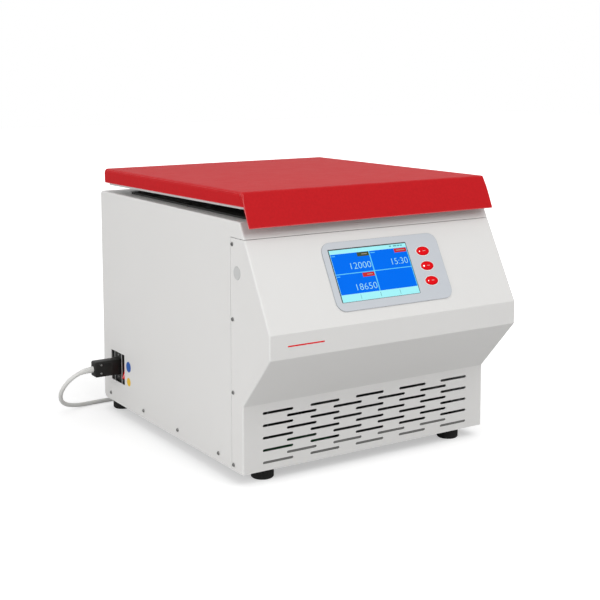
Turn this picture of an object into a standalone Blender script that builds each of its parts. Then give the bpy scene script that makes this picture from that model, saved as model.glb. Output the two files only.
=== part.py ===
# Bench-top high-speed centrifuge, built as separate pieces at real size.
# Units are metres. X is across, Y runs from the front to the back, Z is up.
# The origin is on the table, under the middle of the casing.

from math import atan2, cos, hypot, pi, radians, sin, tan

import bmesh
import bpy
from mathutils import Matrix, Vector

# General clearances and cuts
SEAT_GAP = 0.0003
RUN_GAP = 0.0004
SEAM_GAP = 0.0008
OVERRUN = 0.005

# Casing: side profile, from the table up
BODY_WIDTH = 0.490
SHEET = 0.0015
FOLD_RADIUS = 0.0025
FOOT_HEIGHT = 0.020
GRILLE_RISE = 0.1098
UNDERCUT_RISE = 0.0906
NOSE_RISE = 0.0387
SLOPE_RISE = 0.1614
TRIM_DROP = 0.0261
GRILLE_Y = -0.2262
NOSE_Y = -0.3078
SLOPE_TOP_Y = -0.2193
CHEEK_SEAM_Y = -0.1905
REAR_Y = 0.3078
REAR_FOOT_RADIUS = 0.009
DECK_REAR_RADIUS = 0.005

# Air slots in the front face and the rear panel
SLOT_LENGTH = 0.058
SLOT_HEIGHT = 0.0046
SLOT_PITCH_X = 0.090
SLOT_PITCH_Z = 0.0101
SLOT_TOP_DROP = 0.0158
SLOT_FOOT_MARGIN = 0.012
SLOT_COLUMNS = 5
VENT_LENGTH = 0.100
VENT_HEIGHT = 0.005
VENT_PITCH_Z = 0.012
VENT_ROWS = 9

# Base pan and feet
PAN_SHEET = 0.002
PAN_FLANGE_HEIGHT = 0.028
FOOT_RADIUS = 0.0188
FOOT_TREAD_RADIUS = 0.0172
FRONT_FOOT_INSET = 0.0526
FRONT_FOOT_Y = -0.1968
REAR_FOOT_INSET = 0.027
REAR_FOOT_Y = 0.284

# Front uprights
UPRIGHT_DEPTH = 0.036
UPRIGHT_FLANGE = 0.020
UPRIGHT_SHEET = 0.002
UPRIGHT_REAR_Y = -0.172

# Chamber: bowl, seal, liner, guard ring and the plate that carries them
CHAMBER_Y = 0.015
BOWL_RADIUS = 0.128
BOWL_SHEET = 0.0015
BOWL_DEPTH = 0.1585
BOWL_CORNER = 0.018
BOWL_FLANGE_RADIUS = 0.150
BOWL_FLANGE_SHEET = 0.0012
BOWL_HUB_RADIUS = 0.022
BOWL_HUB_HEIGHT = 0.006
SEAL_INNER_RADIUS = 0.134
SEAL_OUTER_RADIUS = 0.1485
SEAL_HEIGHT = 0.0085
LINER_HEIGHT = 0.003
LINER_INSET = 0.024
LINER_FRONT_INSET = 0.0193
LINER_REAR_INSET = 0.0788
LINER_CORNER = 0.010
RING_INNER_RADIUS = 0.135
RING_WALL = 0.012
PLATE_SIZE = 0.300
PLATE_THICKNESS = 0.006
PLATE_DROP = 0.026
PLATE_HOLE_RADIUS = 0.032
STAND_INSET = 0.025
STAND_FLANGE = 0.018
STAND_SHEET = 0.003
STAND_LENGTH = 0.240

# Drive: dampers, motor, spindle, rotor and nut
DAMPER_RADIUS = 0.012
DAMPER_HEIGHT = 0.0245
DAMPER_RING_RADIUS = 0.062
DAMPERS = 3
MOTOR_FLANGE_RADIUS = 0.076
MOTOR_FLANGE_HEIGHT = 0.006
MOTOR_RADIUS = 0.054
MOTOR_WALL = 0.010
MOTOR_HEIGHT = 0.150
MOTOR_NECK_RADIUS = 0.018
MOTOR_NECK_DROP = 0.006
ARMATURE_GAP = 0.003
SPINDLE_RADIUS = 0.008
BOOT_INNER_RADIUS = 0.0105
ROTOR_FLOOR_RISE = 0.022
ROTOR_BASE_RADIUS = 0.104
ROTOR_WIDEST_RADIUS = 0.1075
ROTOR_WIDEST_RISE = 0.023
ROTOR_SKIRT_RISE = 0.005
ROTOR_RIM_RADIUS = 0.0575
ROTOR_RIM_RISE = 0.1095
ROTOR_LIP_RADIUS = 0.0505
ROTOR_LIP_DROP = 0.0035
ROTOR_HUB_RADIUS = 0.0235
ROTOR_HUB_DROP = 0.0195
BORES = 6
BORE_RADIUS = 0.015
BORE_TILT = radians(30.0)
BORE_FLOOR_RADIUS = 0.085
BORE_FLOOR_RISE = 0.016
NUT_RADIUS = 0.0165
NUT_HEIGHT = 0.030
NUT_GRIP_HEIGHT = 0.017
NUT_COLLAR_RADIUS = 0.012
SPINDLE_REACH = 0.010

# Lid, drawn level and then tipped up about its hinge as the photo shows it
HINGE_SETBACK = 0.0068
HINGE_RISE = 0.0105
LID_TILT = radians(0.8)
LID_WIDTH = 0.488
LID_SHEET = 0.002
LID_EDGE_RADIUS = 0.005
LID_REAR_GAP = 0.007
LID_REAR_RISE = 0.043
LID_FRONT_Y = -0.2231
LID_FRONT_RISE = 0.0393
LID_SKIRT_RISE = 0.0165
LID_REAR_ROUND = 0.008
FLAP_FOOT_Y = -0.2460
FLAP_DROP = 0.015
FLAP_BEND_RADIUS = 0.003
TRAY_INSET = 0.004
TRAY_RISE = 0.0125
TRAY_SHEET = 0.0015
TRAY_CORNER = 0.015
TRAY_FRONT_GAP = 0.0008
ARMOUR_THICKNESS = 0.004
ARMOUR_WIDTH = 0.400
ARMOUR_LENGTH = 0.360
STRIKER_Y = -0.178
STRIKER_DROP = 0.059
STRIKER_WIDTH = 0.024
STRIKER_THICKNESS = 0.004
STRIKER_EYE_WIDTH = 0.014
STRIKER_EYE_HEIGHT = 0.021
STRIKER_EYE_RISE = 0.0053

# Lid hinges
HINGE_INSET = 0.095
KNUCKLE_RADIUS = 0.006
LEAF_WIDTH = 0.024
LEAF_LENGTH = 0.048
LEAF_SHEET = 0.002
BRACKET_EAR = 0.012
BRACKET_SHEET = 0.002
BRACKET_DEPTH = 0.020
PIN_RADIUS = 0.0025

# Latch under the front of the deck
LATCH_AXIS_Y = -0.196
LATCH_AXIS_DROP = 0.0555
LATCH_OPEN_ANGLE = radians(25.0)
LATCH_WALL = 0.003
LATCH_CASE_WIDTH = 0.040
LATCH_CASE_FRONT_Y = -0.2175
LATCH_CASE_REAR_Y = -0.162
LATCH_CASE_DROP = 0.013
HOOK_WIDTH = 0.008
HOOK_ARM = 0.006
HOOK_NOSE = 0.024
HOOK_NOSE_LOW = 0.027
HOOK_NOSE_HIGH = 0.033
HOOK_BOSS_RADIUS = 0.008
LATCH_PIN_RADIUS = 0.003
LATCH_MOTOR_RADIUS = 0.011
LATCH_MOTOR_LENGTH = 0.052
LATCH_SLOT_WIDTH = 0.030
LATCH_SLOT_DEPTH = 0.016

# Emergency release in the left cheek
RELEASE_Y = -0.2108
RELEASE_DROP = 0.0249
RELEASE_CAP_RADIUS = 0.0105
RELEASE_PROUD = 0.0003
RELEASE_CAP_DEPTH = 0.006
RELEASE_ROD_RADIUS = 0.002
RELEASE_ROD_END_X = -0.010
RELEASE_CLEARANCE = 0.002

# Display and keys on the front slope: across, up the slope from its foot, outwards
FASCIA_LEFT = -0.114
FASCIA_RIGHT = 0.1174
FASCIA_HEIGHT = 0.1152
FASCIA_OFFSET = 0.00174
FASCIA_CORNER = 0.017
FASCIA_THICKNESS = 0.0012
SCREEN_LEFT = -0.1025
SCREEN_RIGHT = 0.0522
SCREEN_FOOT_MARGIN = 0.0141
SCREEN_TOP_MARGIN = 0.0118
SCREEN_CORNER = 0.0015
MODULE_MARGIN = 0.004
MODULE_DEPTH = 0.022
KEY_X = 0.082
KEY_FOOT_MARGIN = 0.0327
KEY_PITCH = 0.026
KEYS = 3
KEY_WIDTH = 0.0258
KEY_HEIGHT = 0.0152
KEY_PROUD = 0.0010
KEY_TRAVEL = 0.0008
KEY_COLLAR = 0.001
KEY_COLLAR_THICKNESS = 0.0015
KEY_BOARD_DEPTH = 0.010
KEY_BOARD_WIDTH = 0.036
KEY_BOARD_LENGTH = 0.100
KEY_SWITCH_SIZE = 0.006
BOARD_SHEET = 0.0016
STANDOFF_RADIUS = 0.003

# Mains inlet and switch, seen through a window in the left side
WINDOW_FRONT_ROOM = 0.0312
WINDOW_REAR_ROOM = 0.0278
WINDOW_LOW_ROOM = 0.0312
WINDOW_HIGH_ROOM = 0.0265
INLET_RECESS = 0.004
INLET_PLATE_SHEET = 0.0015
INLET_PLATE_MARGIN = 0.010
INLET_PLATE_REACH = 0.0168
INLET_SETBACK = 0.0618
INLET_Z = 0.0932
INLET_FLANGE_WIDTH = 0.027
INLET_FLANGE_HEIGHT = 0.050
INLET_FLANGE_THICKNESS = 0.0025
INLET_BODY_WIDTH = 0.022
INLET_BODY_HEIGHT = 0.032
INLET_BODY_DEPTH = 0.024
SOCKET_WIDTH = 0.0166
SOCKET_HEIGHT = 0.0246
SOCKET_DEPTH = 0.016
SWITCH_WIDTH = 0.013
SWITCH_HEIGHT = 0.050
SWITCH_BODY_HEIGHT = 0.036
SWITCH_BODY_DEPTH = 0.022
SWITCH_GAP_Y = 0.001
SWITCH_WALL = 0.0015
ROCKER_DROP = 0.0062
ROCKER_LENGTH = 0.028
ROCKER_TILT = radians(10.0)
ROCKER_PROUD = 0.0036
ROCKER_DIP = 0.0015
ROCKER_BACK = 0.0035

# Mains lead: connector, cord, coil and wall plug
CONNECTOR_LENGTH = 0.052
CONNECTOR_WIDTH = 0.020
CONNECTOR_HEIGHT = 0.029
CONNECTOR_CHAMFER = 0.005
CORD_RADIUS = 0.004
CORD_POINTS = 72
CORD_ROUTE = [
    (-0.3165, 0.2476, 0.0902), (-0.3343, 0.2542, 0.0792), (-0.3446, 0.2650, 0.0631),
    (-0.3469, 0.2782, 0.0457), (-0.3408, 0.2923, 0.0299), (-0.3283, 0.3054, 0.0175),
    (-0.3105, 0.3159, 0.0096), (-0.2901, 0.3231, 0.0055), (-0.2684, 0.3272, 0.0044),
    (-0.2463, 0.3290, 0.0043), (-0.2242, 0.3294, 0.0043), (-0.2021, 0.3291, 0.0043),
    (-0.1799, 0.3285, 0.0043), (-0.1578, 0.3279, 0.0043), (-0.1357, 0.3274, 0.0043),
    (-0.1136, 0.3272, 0.0043), (-0.0914, 0.3270, 0.0043),
]
COIL_X = -0.060
COIL_Y = 0.385
COIL_OUTER_RADIUS = 0.058
COIL_PITCH = 0.0087
COIL_TURNS = 3
COIL_STEPS = 24
COIL_FLOOR = 0.0043
COIL_LEAD = 0.009
PLUG_RADIUS = 0.0185
PLUG_LENGTH = 0.036
PLUG_TAIL_LENGTH = 0.022
PLUG_TAIL_RADIUS = 0.0065
PLUG_PIN_RADIUS = 0.0024
PLUG_PIN_LENGTH = 0.019
PLUG_PIN_SPACING = 0.019

# Electronics and fan
MODULES_Y = 0.210
SUPPLY_INSET = 0.030
SUPPLY_WIDTH = 0.150
SUPPLY_DEPTH = 0.080
SUPPLY_HEIGHT = 0.058
INVERTER_INSET = 0.060
INVERTER_WIDTH = 0.120
INVERTER_DEPTH = 0.080
INVERTER_BASE = 0.020
INVERTER_HEIGHT = 0.070
FINS = 9
FIN_SHARE = 0.4
BOARD_INSET = 0.055
BOARD_Y = -0.180
BOARD_WIDTH = 0.130
BOARD_LENGTH = 0.070
BOARD_RISE = 0.018
CHIP_SIZE = 0.030
CHIP_HEIGHT = 0.006
FAN_INSET = 0.125
FAN_Z = 0.150
FAN_SIZE = 0.119
FAN_DEPTH = 0.025
FAN_BORE_RADIUS = 0.056
FAN_HUB_RADIUS = 0.019
FAN_STRUTS = 3
FAN_STRUT_WIDTH = 0.005
FAN_STRUT_DEPTH = 0.004
FAN_STRUT_ROOT = 0.002
FAN_BLADES = 7
FAN_BLADE_REACH = 0.053
FAN_BLADE_SHEET = 0.002
FAN_BLADE_PITCH = radians(35.0)
FAN_PIN_RADIUS = 0.003

# Values that follow from the sizes above
HALF_WIDTH = BODY_WIDTH / 2
BASE_Z = FOOT_HEIGHT
PAN_FLOOR_Z = BASE_Z + PAN_SHEET
GRILLE_TOP_Z = BASE_Z + GRILLE_RISE
NOSE_FOOT_Z = GRILLE_TOP_Z + UNDERCUT_RISE
SLOPE_FOOT_Z = NOSE_FOOT_Z + NOSE_RISE
DECK_Z = SLOPE_FOOT_Z + SLOPE_RISE
TRIM_SEAM_Z = DECK_Z - TRIM_DROP
DECK_UNDER_Z = DECK_Z - SHEET
INNER_HALF_WIDTH = HALF_WIDTH - SHEET
FIT_HALF_WIDTH = INNER_HALF_WIDTH - SEAT_GAP
REAR_PANEL_Y = REAR_Y - SHEET
PAN_REAR_Y = REAR_PANEL_Y - SHEET - SEAT_GAP
STAND_X = PLATE_SIZE / 2 - STAND_INSET
LINER_Z = DECK_Z + SEAT_GAP
LINER_HALF_WIDTH = HALF_WIDTH - LINER_INSET
LINER_FRONT_Y = SLOPE_TOP_Y + LINER_FRONT_INSET
LINER_REAR_Y = REAR_Y - LINER_REAR_INSET
SLOPE_ANGLE = atan2(SLOPE_RISE, SLOPE_TOP_Y - NOSE_Y)
SLOT_ROWS = 1 + int((GRILLE_RISE - SLOT_TOP_DROP - SLOT_FOOT_MARGIN) / SLOT_PITCH_Z)
BOWL_FLOOR_Z = DECK_Z - BOWL_DEPTH
PLATE_Z = BOWL_FLOOR_Z - PLATE_DROP
MOTOR_NECK_TOP_Z = BOWL_FLOOR_Z - MOTOR_NECK_DROP
ROTOR_FLOOR_Z = BOWL_FLOOR_Z + ROTOR_FLOOR_RISE
ROTOR_SKIRT_Z = ROTOR_FLOOR_Z + ROTOR_SKIRT_RISE
ROTOR_WIDEST_Z = ROTOR_FLOOR_Z + ROTOR_WIDEST_RISE
ROTOR_RIM_Z = ROTOR_FLOOR_Z + ROTOR_RIM_RISE
ROTOR_LIP_Z = ROTOR_RIM_Z - ROTOR_LIP_DROP
ROTOR_HUB_Z = ROTOR_RIM_Z - ROTOR_HUB_DROP
BORE_FLOOR_Z = ROTOR_FLOOR_Z + BORE_FLOOR_RISE
HINGE_Y = REAR_Y - HINGE_SETBACK
HINGE_Z = DECK_Z + HINGE_RISE
LID_REAR_Y = HINGE_Y - LID_REAR_GAP
LID_REAR_TOP_Z = DECK_Z + LID_REAR_RISE
LID_FRONT_TOP_Z = DECK_Z + LID_FRONT_RISE
LID_SKIRT_Z = DECK_Z + LID_SKIRT_RISE
FLAP_FOOT_Z = DECK_Z - FLAP_DROP
TRAY_Z = DECK_Z + TRAY_RISE
LATCH_AXIS_Z = DECK_Z - LATCH_AXIS_DROP
LATCH_CASE_FOOT_Z = LATCH_AXIS_Z - LATCH_CASE_DROP
RELEASE_Z = LATCH_AXIS_Z - RELEASE_DROP
FASCIA_ROOM = (SLOPE_RISE - TRIM_DROP) / sin(SLOPE_ANGLE)
FASCIA_LOW = (FASCIA_ROOM - FASCIA_HEIGHT) / 2 + FASCIA_OFFSET
FASCIA_HIGH = FASCIA_LOW + FASCIA_HEIGHT
SCREEN_LOW = FASCIA_LOW + SCREEN_FOOT_MARGIN
SCREEN_HIGH = FASCIA_HIGH - SCREEN_TOP_MARGIN
KEY_LOW = FASCIA_LOW + KEY_FOOT_MARGIN
MOTOR_Z = PAN_FLOOR_Z + DAMPER_HEIGHT + 2 * SEAT_GAP
INLET_FACE_X = -INNER_HALF_WIDTH + INLET_RECESS
INLET_Y = REAR_Y - INLET_SETBACK
INLET_PLATE_REAR_Y = INLET_Y + INLET_PLATE_REACH
WINDOW_FRONT_Y = INLET_Y - WINDOW_FRONT_ROOM
WINDOW_REAR_Y = INLET_Y + WINDOW_REAR_ROOM
WINDOW_LOW_Z = INLET_Z - WINDOW_LOW_ROOM
WINDOW_HIGH_Z = INLET_Z + WINDOW_HIGH_ROOM
ROCKER_Z = INLET_Z - ROCKER_DROP
KEY_COLLAR_TOP = -SHEET - SEAT_GAP
FRONT_FOOT_X = HALF_WIDTH - FRONT_FOOT_INSET
REAR_FOOT_X = HALF_WIDTH - REAR_FOOT_INSET
HINGE_X = HALF_WIDTH - HINGE_INSET
SUPPLY_X = HALF_WIDTH - SUPPLY_INSET - SUPPLY_WIDTH / 2
INVERTER_X = INVERTER_INSET + INVERTER_WIDTH / 2 - HALF_WIDTH
BOARD_X = BOARD_INSET + BOARD_WIDTH / 2 - HALF_WIDTH
FAN_X = HALF_WIDTH - FAN_INSET
FLAP_RUN = (LID_FRONT_Y - FLAP_FOOT_Y) / (LID_FRONT_TOP_Z - FLAP_FOOT_Z)


# Materials

def finish(name, colour, roughness, metallic=0.0):
    material = bpy.data.materials.get(name)
    if material is None:
        material = bpy.data.materials.new(name)
        material.use_nodes = True
        shader = material.node_tree.nodes["Principled BSDF"]
        shader.inputs["Base Color"].default_value = (*colour, 1.0)
        shader.inputs["Roughness"].default_value = roughness
        shader.inputs["Metallic"].default_value = metallic
        material.diffuse_color = (*colour, 1.0)
    return material


def off_white():
    return finish("off_white_paint", (0.74, 0.73, 0.71), 0.45)


def lid_red():
    return finish("red_paint", (0.56, 0.02, 0.025), 0.35)


def tray_grey():
    return finish("light_grey_paint", (0.62, 0.63, 0.62), 0.45)


def zinc():
    return finish("zinc_plate", (0.62, 0.63, 0.65), 0.4, 1.0)


def steel():
    return finish("steel", (0.60, 0.60, 0.60), 0.3, 1.0)


def aluminium():
    return finish("aluminium", (0.72, 0.72, 0.74), 0.35, 1.0)


def black_plastic():
    return finish("black_plastic", (0.02, 0.02, 0.02), 0.5)


def rubber():
    return finish("black_rubber", (0.015, 0.015, 0.015), 0.8)


def board_green():
    return finish("circuit_board", (0.02, 0.18, 0.06), 0.5)


def key_red():
    return finish("red_key", (0.70, 0.01, 0.01), 0.4)


def cord_grey():
    return finish("cord_grey", (0.72, 0.72, 0.70), 0.5)


def fascia_grey():
    return finish("fascia_grey", (0.52, 0.55, 0.60), 0.4)


def screen_blue():
    return finish("screen_blue", (0.0, 0.14, 0.85), 0.1)


# Shape helpers

def clear_objects():
    for old in list(bpy.data.objects):
        bpy.data.objects.remove(old, do_unlink=True)


def mesh_of(work):
    bmesh.ops.recalc_face_normals(work, faces=work.faces)
    mesh = bpy.data.meshes.new("shape")
    work.to_mesh(mesh)
    work.free()
    return mesh


def along(axis, height, point):
    u, v = point
    return {"X": (height, u, v), "Y": (u, height, v), "Z": (u, v, height)}[axis]


def prism(outline, axis, low, high):
    """A closed outline pushed along one axis, from low to high."""
    work = bmesh.new()
    face = work.faces.new([work.verts.new(along(axis, low, point)) for point in outline])
    pushed = bmesh.ops.extrude_face_region(work, geom=[face])
    moved = [item for item in pushed["geom"] if isinstance(item, bmesh.types.BMVert)]
    bmesh.ops.translate(work, verts=moved, vec=along(axis, high - low, (0, 0)))
    return mesh_of(work)


def box(low, high):
    return prism(rectangle(low[0], low[1], high[0], high[1]), "Z", low[2], high[2])


def rectangle(left, low, right, high):
    return [(left, low), (right, low), (right, high), (left, high)]


def rounded(corners, radius, steps=4):
    """An outline with each corner turned into an arc of its own radius."""
    radii = radius if isinstance(radius, list) else [radius] * len(corners)
    outline = []
    for place, (corner, bend) in enumerate(zip(corners, radii)):
        here = Vector(corner)
        before = (Vector(corners[place - 1]) - here).normalized()
        after = (Vector(corners[(place + 1) % len(corners)]) - here).normalized()
        if bend == 0:
            outline.append(corner)
            continue
        half = before.angle(after) / 2
        centre = here + (before + after).normalized() * (bend / sin(half))
        start = here + before * (bend / tan(half)) - centre
        stop = here + after * (bend / tan(half)) - centre
        sweep = pi - 2 * half
        for step in range(steps + 1):
            share = step / steps
            spoke = (start * sin((1 - share) * sweep) + stop * sin(share * sweep)) / sin(sweep)
            outline.append(tuple(centre + spoke))
    return outline


def inset(corners, distance):
    """The same outline, each side moved inwards, for corners that run anticlockwise."""
    moved = []
    for place, corner in enumerate(corners):
        here = Vector(corner)
        before = (here - Vector(corners[place - 1])).normalized()
        after = (Vector(corners[(place + 1) % len(corners)]) - here).normalized()
        inward_before = Vector((-before.y, before.x))
        inward_after = Vector((-after.y, after.x))
        mitre = inward_before + inward_after
        moved.append(tuple(here + mitre * (2 * distance / mitre.length_squared)))
    return moved


def oval(centre, width, height, steps=24):
    turns = [2 * pi * step / steps for step in range(steps)]
    return [(centre[0] + width / 2 * cos(t), centre[1] + height / 2 * sin(t)) for t in turns]


def capsule(centre, length, height, steps=3):
    """A slot outline with round ends."""
    outline = []
    for side in (1, -1):
        middle = centre[0] + side * (length - height) / 2
        for step in range(steps + 1):
            turn = side * (step / steps - 1 / 2) * pi
            turn = turn if side == 1 else pi - turn
            outline.append((middle + height / 2 * cos(turn), centre[1] + height / 2 * sin(turn)))
    return outline


def turned(profile, segments):
    """A profile of radius and height, turned into a closed solid about the Z axis."""
    work = bmesh.new()
    turns = [2 * pi * step / segments for step in range(segments)]
    rings = []
    for radius, height in profile:
        spots = [(radius * cos(turn), radius * sin(turn), height) for turn in turns]
        rings.append([work.verts.new(spot) for spot in (spots if radius else spots[:1])])
    for place in range(-1, len(rings) - 1):
        if len(rings[place]) > 1 or len(rings[place + 1]) > 1:
            join_rings(work, rings[place], rings[place + 1], segments)
    return mesh_of(work)


def join_rings(work, first, second, segments):
    for step in range(segments):
        after = (step + 1) % segments
        corners = [first[step % len(first)], first[after % len(first)]]
        corners += [second[after % len(second)], second[step % len(second)]]
        work.faces.new(list(dict.fromkeys(corners)))


def rod(radius, low, high, axis="Z", centre=(0, 0), segments=24):
    return prism(oval(centre, 2 * radius, 2 * radius, segments), axis, low, high)


def tube_wall(outer, inner, low, high, segments=48):
    return turned([(inner, low), (outer, low), (outer, high), (inner, high)], segments)


def placed(mesh, matrix):
    mesh.transform(matrix)
    return mesh


def combine(base, others, operation):
    """The base mesh with the others joined to it or cut out of it."""
    holder = bpy.data.objects.new("holder", base)
    tools = [bpy.data.objects.new("tool", other) for other in others]
    for item in [holder] + tools:
        bpy.context.scene.collection.objects.link(item)
    for tool in tools:
        step = holder.modifiers.new("step", "BOOLEAN")
        step.operation = operation
        step.object = tool
    bpy.context.view_layer.update()
    graph = bpy.context.evaluated_depsgraph_get()
    result = bpy.data.meshes.new_from_object(holder.evaluated_get(graph))
    for item in [holder] + tools:
        bpy.data.objects.remove(item)
    return result


def cut(base, *others):
    return combine(base, others, "DIFFERENCE")


def fuse(base, *others):
    return combine(base, others, "UNION")


def gathered(meshes):
    """Cutters that don't touch, held in one mesh."""
    work = bmesh.new()
    for mesh in meshes:
        work.from_mesh(mesh)
    return mesh_of(work)


def soften(mesh, wanted, width, segments=3):
    """Round the edges between the two ends of a prism and its wanted faces."""
    work = bmesh.new()
    work.from_mesh(mesh)
    work.normal_update()
    chosen = [edge for edge in work.edges if len(edge.link_faces) == 2 and meets(edge, wanted)]
    bmesh.ops.bevel(work, geom=chosen, offset=width, segments=segments, profile=0.5, affect="EDGES")
    return mesh_of(work)


def meets(edge, wanted):
    normals = [face.normal for face in edge.link_faces]
    ends = [normal for normal in normals if abs(normal.x) > cos(radians(1))]
    return len(ends) == 1 and any(wanted(normal) for normal in normals if normal not in ends)


def frame_at(name, location=(0, 0, 0), turn_x=0.0, parent=None):
    empty = bpy.data.objects.new(name, None)
    bpy.context.scene.collection.objects.link(empty)
    empty.location = location
    empty.rotation_euler.x = turn_x
    empty.parent = parent
    return empty


def piece(name, mesh, material, parent=None, location=(0, 0, 0), smooth=False):
    mesh = mesh.copy() if mesh.users else mesh
    mesh.name = name
    mesh.materials.clear()
    mesh.materials.append(material)
    if smooth:
        mesh.shade_smooth()
        mesh.set_sharp_from_angle(angle=radians(35))
    item = bpy.data.objects.new(name, mesh)
    bpy.context.scene.collection.objects.link(item)
    item.location = location
    item.parent = parent
    return item


# Casing

def slope_y(z):
    """The front slope's place at a height."""
    share = (z - SLOPE_FOOT_Z) / (DECK_Z - SLOPE_FOOT_Z)
    return NOSE_Y + (SLOPE_TOP_Y - NOSE_Y) * share


def slope_normal_y():
    """How far a sheet's thickness on the slope reaches along Y."""
    return SHEET / sin(SLOPE_ANGLE)


def housing():
    seam_y = CHEEK_SEAM_Y + SEAM_GAP / 2
    seam_z = TRIM_SEAM_Z + SEAM_GAP / 2
    corners = [(seam_y, BASE_Z), (REAR_Y, BASE_Z), (REAR_Y, DECK_Z), (SLOPE_TOP_Y, DECK_Z),
               (slope_y(seam_z), seam_z), (seam_y, seam_z)]
    radii = [0, REAR_FOOT_RADIUS, DECK_REAR_RADIUS, FOLD_RADIUS, 0, 0]
    shell = prism(rounded(corners, radii), "X", -HALF_WIDTH, HALF_WIDTH)
    shell = soften(shell, lambda normal: normal.z > 0.3, FOLD_RADIUS)
    low = BASE_Z - OVERRUN
    hollow = [(slope_y(low) + slope_normal_y(), low), (REAR_Y + OVERRUN, low),
              (REAR_Y + OVERRUN, DECK_UNDER_Z), (slope_y(DECK_UNDER_Z) + slope_normal_y(), DECK_UNDER_Z)]
    window = box((-HALF_WIDTH - OVERRUN, WINDOW_FRONT_Y, WINDOW_LOW_Z),
                 (-INNER_HALF_WIDTH + OVERRUN, WINDOW_REAR_Y, WINDOW_HIGH_Z))
    shell = cut(shell, prism(hollow, "X", -INNER_HALF_WIDTH, INNER_HALF_WIDTH))
    shell = cut(shell, gathered([window, chamber_hole(BOWL_RADIUS + BOWL_SHEET + SEAT_GAP), latch_slot()]))
    piece("housing", shell, off_white())


def chamber_hole(radius):
    return rod(radius, DECK_UNDER_Z - OVERRUN, DECK_Z + OVERRUN, centre=(0, CHAMBER_Y), segments=48)


def latch_slot():
    half = LATCH_SLOT_WIDTH / 2
    return box((-half, STRIKER_Y - LATCH_SLOT_DEPTH / 2, DECK_UNDER_Z - OVERRUN),
               (half, STRIKER_Y + LATCH_SLOT_DEPTH / 2, DECK_Z + LINER_HEIGHT + OVERRUN))


def front_panel():
    seam_y = CHEEK_SEAM_Y - SEAM_GAP / 2
    seam_z = TRIM_SEAM_Z - SEAM_GAP / 2
    corners = [(GRILLE_Y, BASE_Z), (seam_y, BASE_Z), (seam_y, seam_z), (slope_y(seam_z), seam_z),
               (NOSE_Y, SLOPE_FOOT_Z), (NOSE_Y, NOSE_FOOT_Z), (GRILLE_Y, GRILLE_TOP_Z)]
    shell = prism(rounded(corners, [0, 0, 0, 0] + [FOLD_RADIUS] * 3), "X", -HALF_WIDTH, HALF_WIDTH)
    shell = soften(shell, lambda normal: normal.y < -0.3, FOLD_RADIUS)
    inner = inset(corners, SHEET)
    inner[0] = (inner[0][0], BASE_Z - OVERRUN)
    inner[1] = (seam_y + OVERRUN, BASE_Z - OVERRUN)
    inner[2] = (seam_y + OVERRUN, seam_z + OVERRUN)
    inner[3] = (slope_y(seam_z + OVERRUN) + slope_normal_y(), seam_z + OVERRUN)
    shell = cut(shell, prism(inner, "X", -INNER_HALF_WIDTH, INNER_HALF_WIDTH))
    release = rod(RELEASE_CAP_RADIUS + RUN_GAP, -HALF_WIDTH - OVERRUN, -INNER_HALF_WIDTH + OVERRUN, "X",
                  (RELEASE_Y, RELEASE_Z))
    face_cuts = placed(gathered(slope_openings(-SHEET - OVERRUN, OVERRUN, KEY_COLLAR / 4)), slope_matrix())
    shell = cut(shell, gathered([release, face_cuts] + air_slots(GRILLE_Y)))
    piece("front_panel", shell, off_white())


def air_slots(face_y):
    """Staggered rows of slots, five and four to a row by turns."""
    slots = []
    for row in range(SLOT_ROWS):
        z = GRILLE_TOP_Z - SLOT_TOP_DROP - row * SLOT_PITCH_Z
        count = SLOT_COLUMNS - row % 2
        for column in range(count):
            x = (column - (count - 1) / 2) * SLOT_PITCH_X
            outline = capsule((x, z), SLOT_LENGTH, SLOT_HEIGHT)
            slots.append(prism(outline, "Y", face_y - OVERRUN, face_y + SHEET + OVERRUN))
    return slots


def slope_matrix():
    """From slope coordinates (across, up the slope, outwards) to the casing's own."""
    return Matrix.Translation((0, NOSE_Y, SLOPE_FOOT_Z)) @ Matrix.Rotation(SLOPE_ANGLE, 4, "X")


def slope_openings(low, high, spare):
    """Cutters for the screen window and the key holes, with some spare round each."""
    window = rectangle(SCREEN_LEFT - spare, SCREEN_LOW - spare, SCREEN_RIGHT + spare, SCREEN_HIGH + spare)
    cutters = [prism(rounded(window, SCREEN_CORNER), "Z", low, high)]
    for key in range(KEYS):
        width = KEY_WIDTH + 2 * (RUN_GAP + spare)
        height = KEY_HEIGHT + 2 * (RUN_GAP + spare)
        cutters.append(prism(oval((KEY_X, KEY_LOW + key * KEY_PITCH), width, height), "Z", low, high))
    return cutters


def rear_panel():
    low = REAR_PANEL_Y - SHEET
    slab = box((-FIT_HALF_WIDTH, low, BASE_Z), (FIT_HALF_WIDTH, REAR_PANEL_Y, DECK_UNDER_Z - SEAT_GAP))
    vents = []
    for side in (-1, 1):
        for row in range(VENT_ROWS):
            spot = (side * FAN_X, FAN_Z + (row - (VENT_ROWS - 1) / 2) * VENT_PITCH_Z)
            outline = capsule(spot, VENT_LENGTH, VENT_HEIGHT)
            vents.append(prism(outline, "Y", low - OVERRUN, REAR_PANEL_Y + OVERRUN))
    piece("rear_panel", cut(slab, gathered(vents)), off_white())


def base_pan():
    front = GRILLE_Y + SHEET + SEAT_GAP
    top = BASE_Z + PAN_FLANGE_HEIGHT
    pan = box((-FIT_HALF_WIDTH, front, BASE_Z), (FIT_HALF_WIDTH, PAN_REAR_Y, top))
    hollow = box((-FIT_HALF_WIDTH + PAN_SHEET, front + PAN_SHEET, PAN_FLOOR_Z),
                 (FIT_HALF_WIDTH - PAN_SHEET, PAN_REAR_Y - PAN_SHEET, top + OVERRUN))
    piece("base_pan", cut(pan, hollow), zinc())


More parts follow.
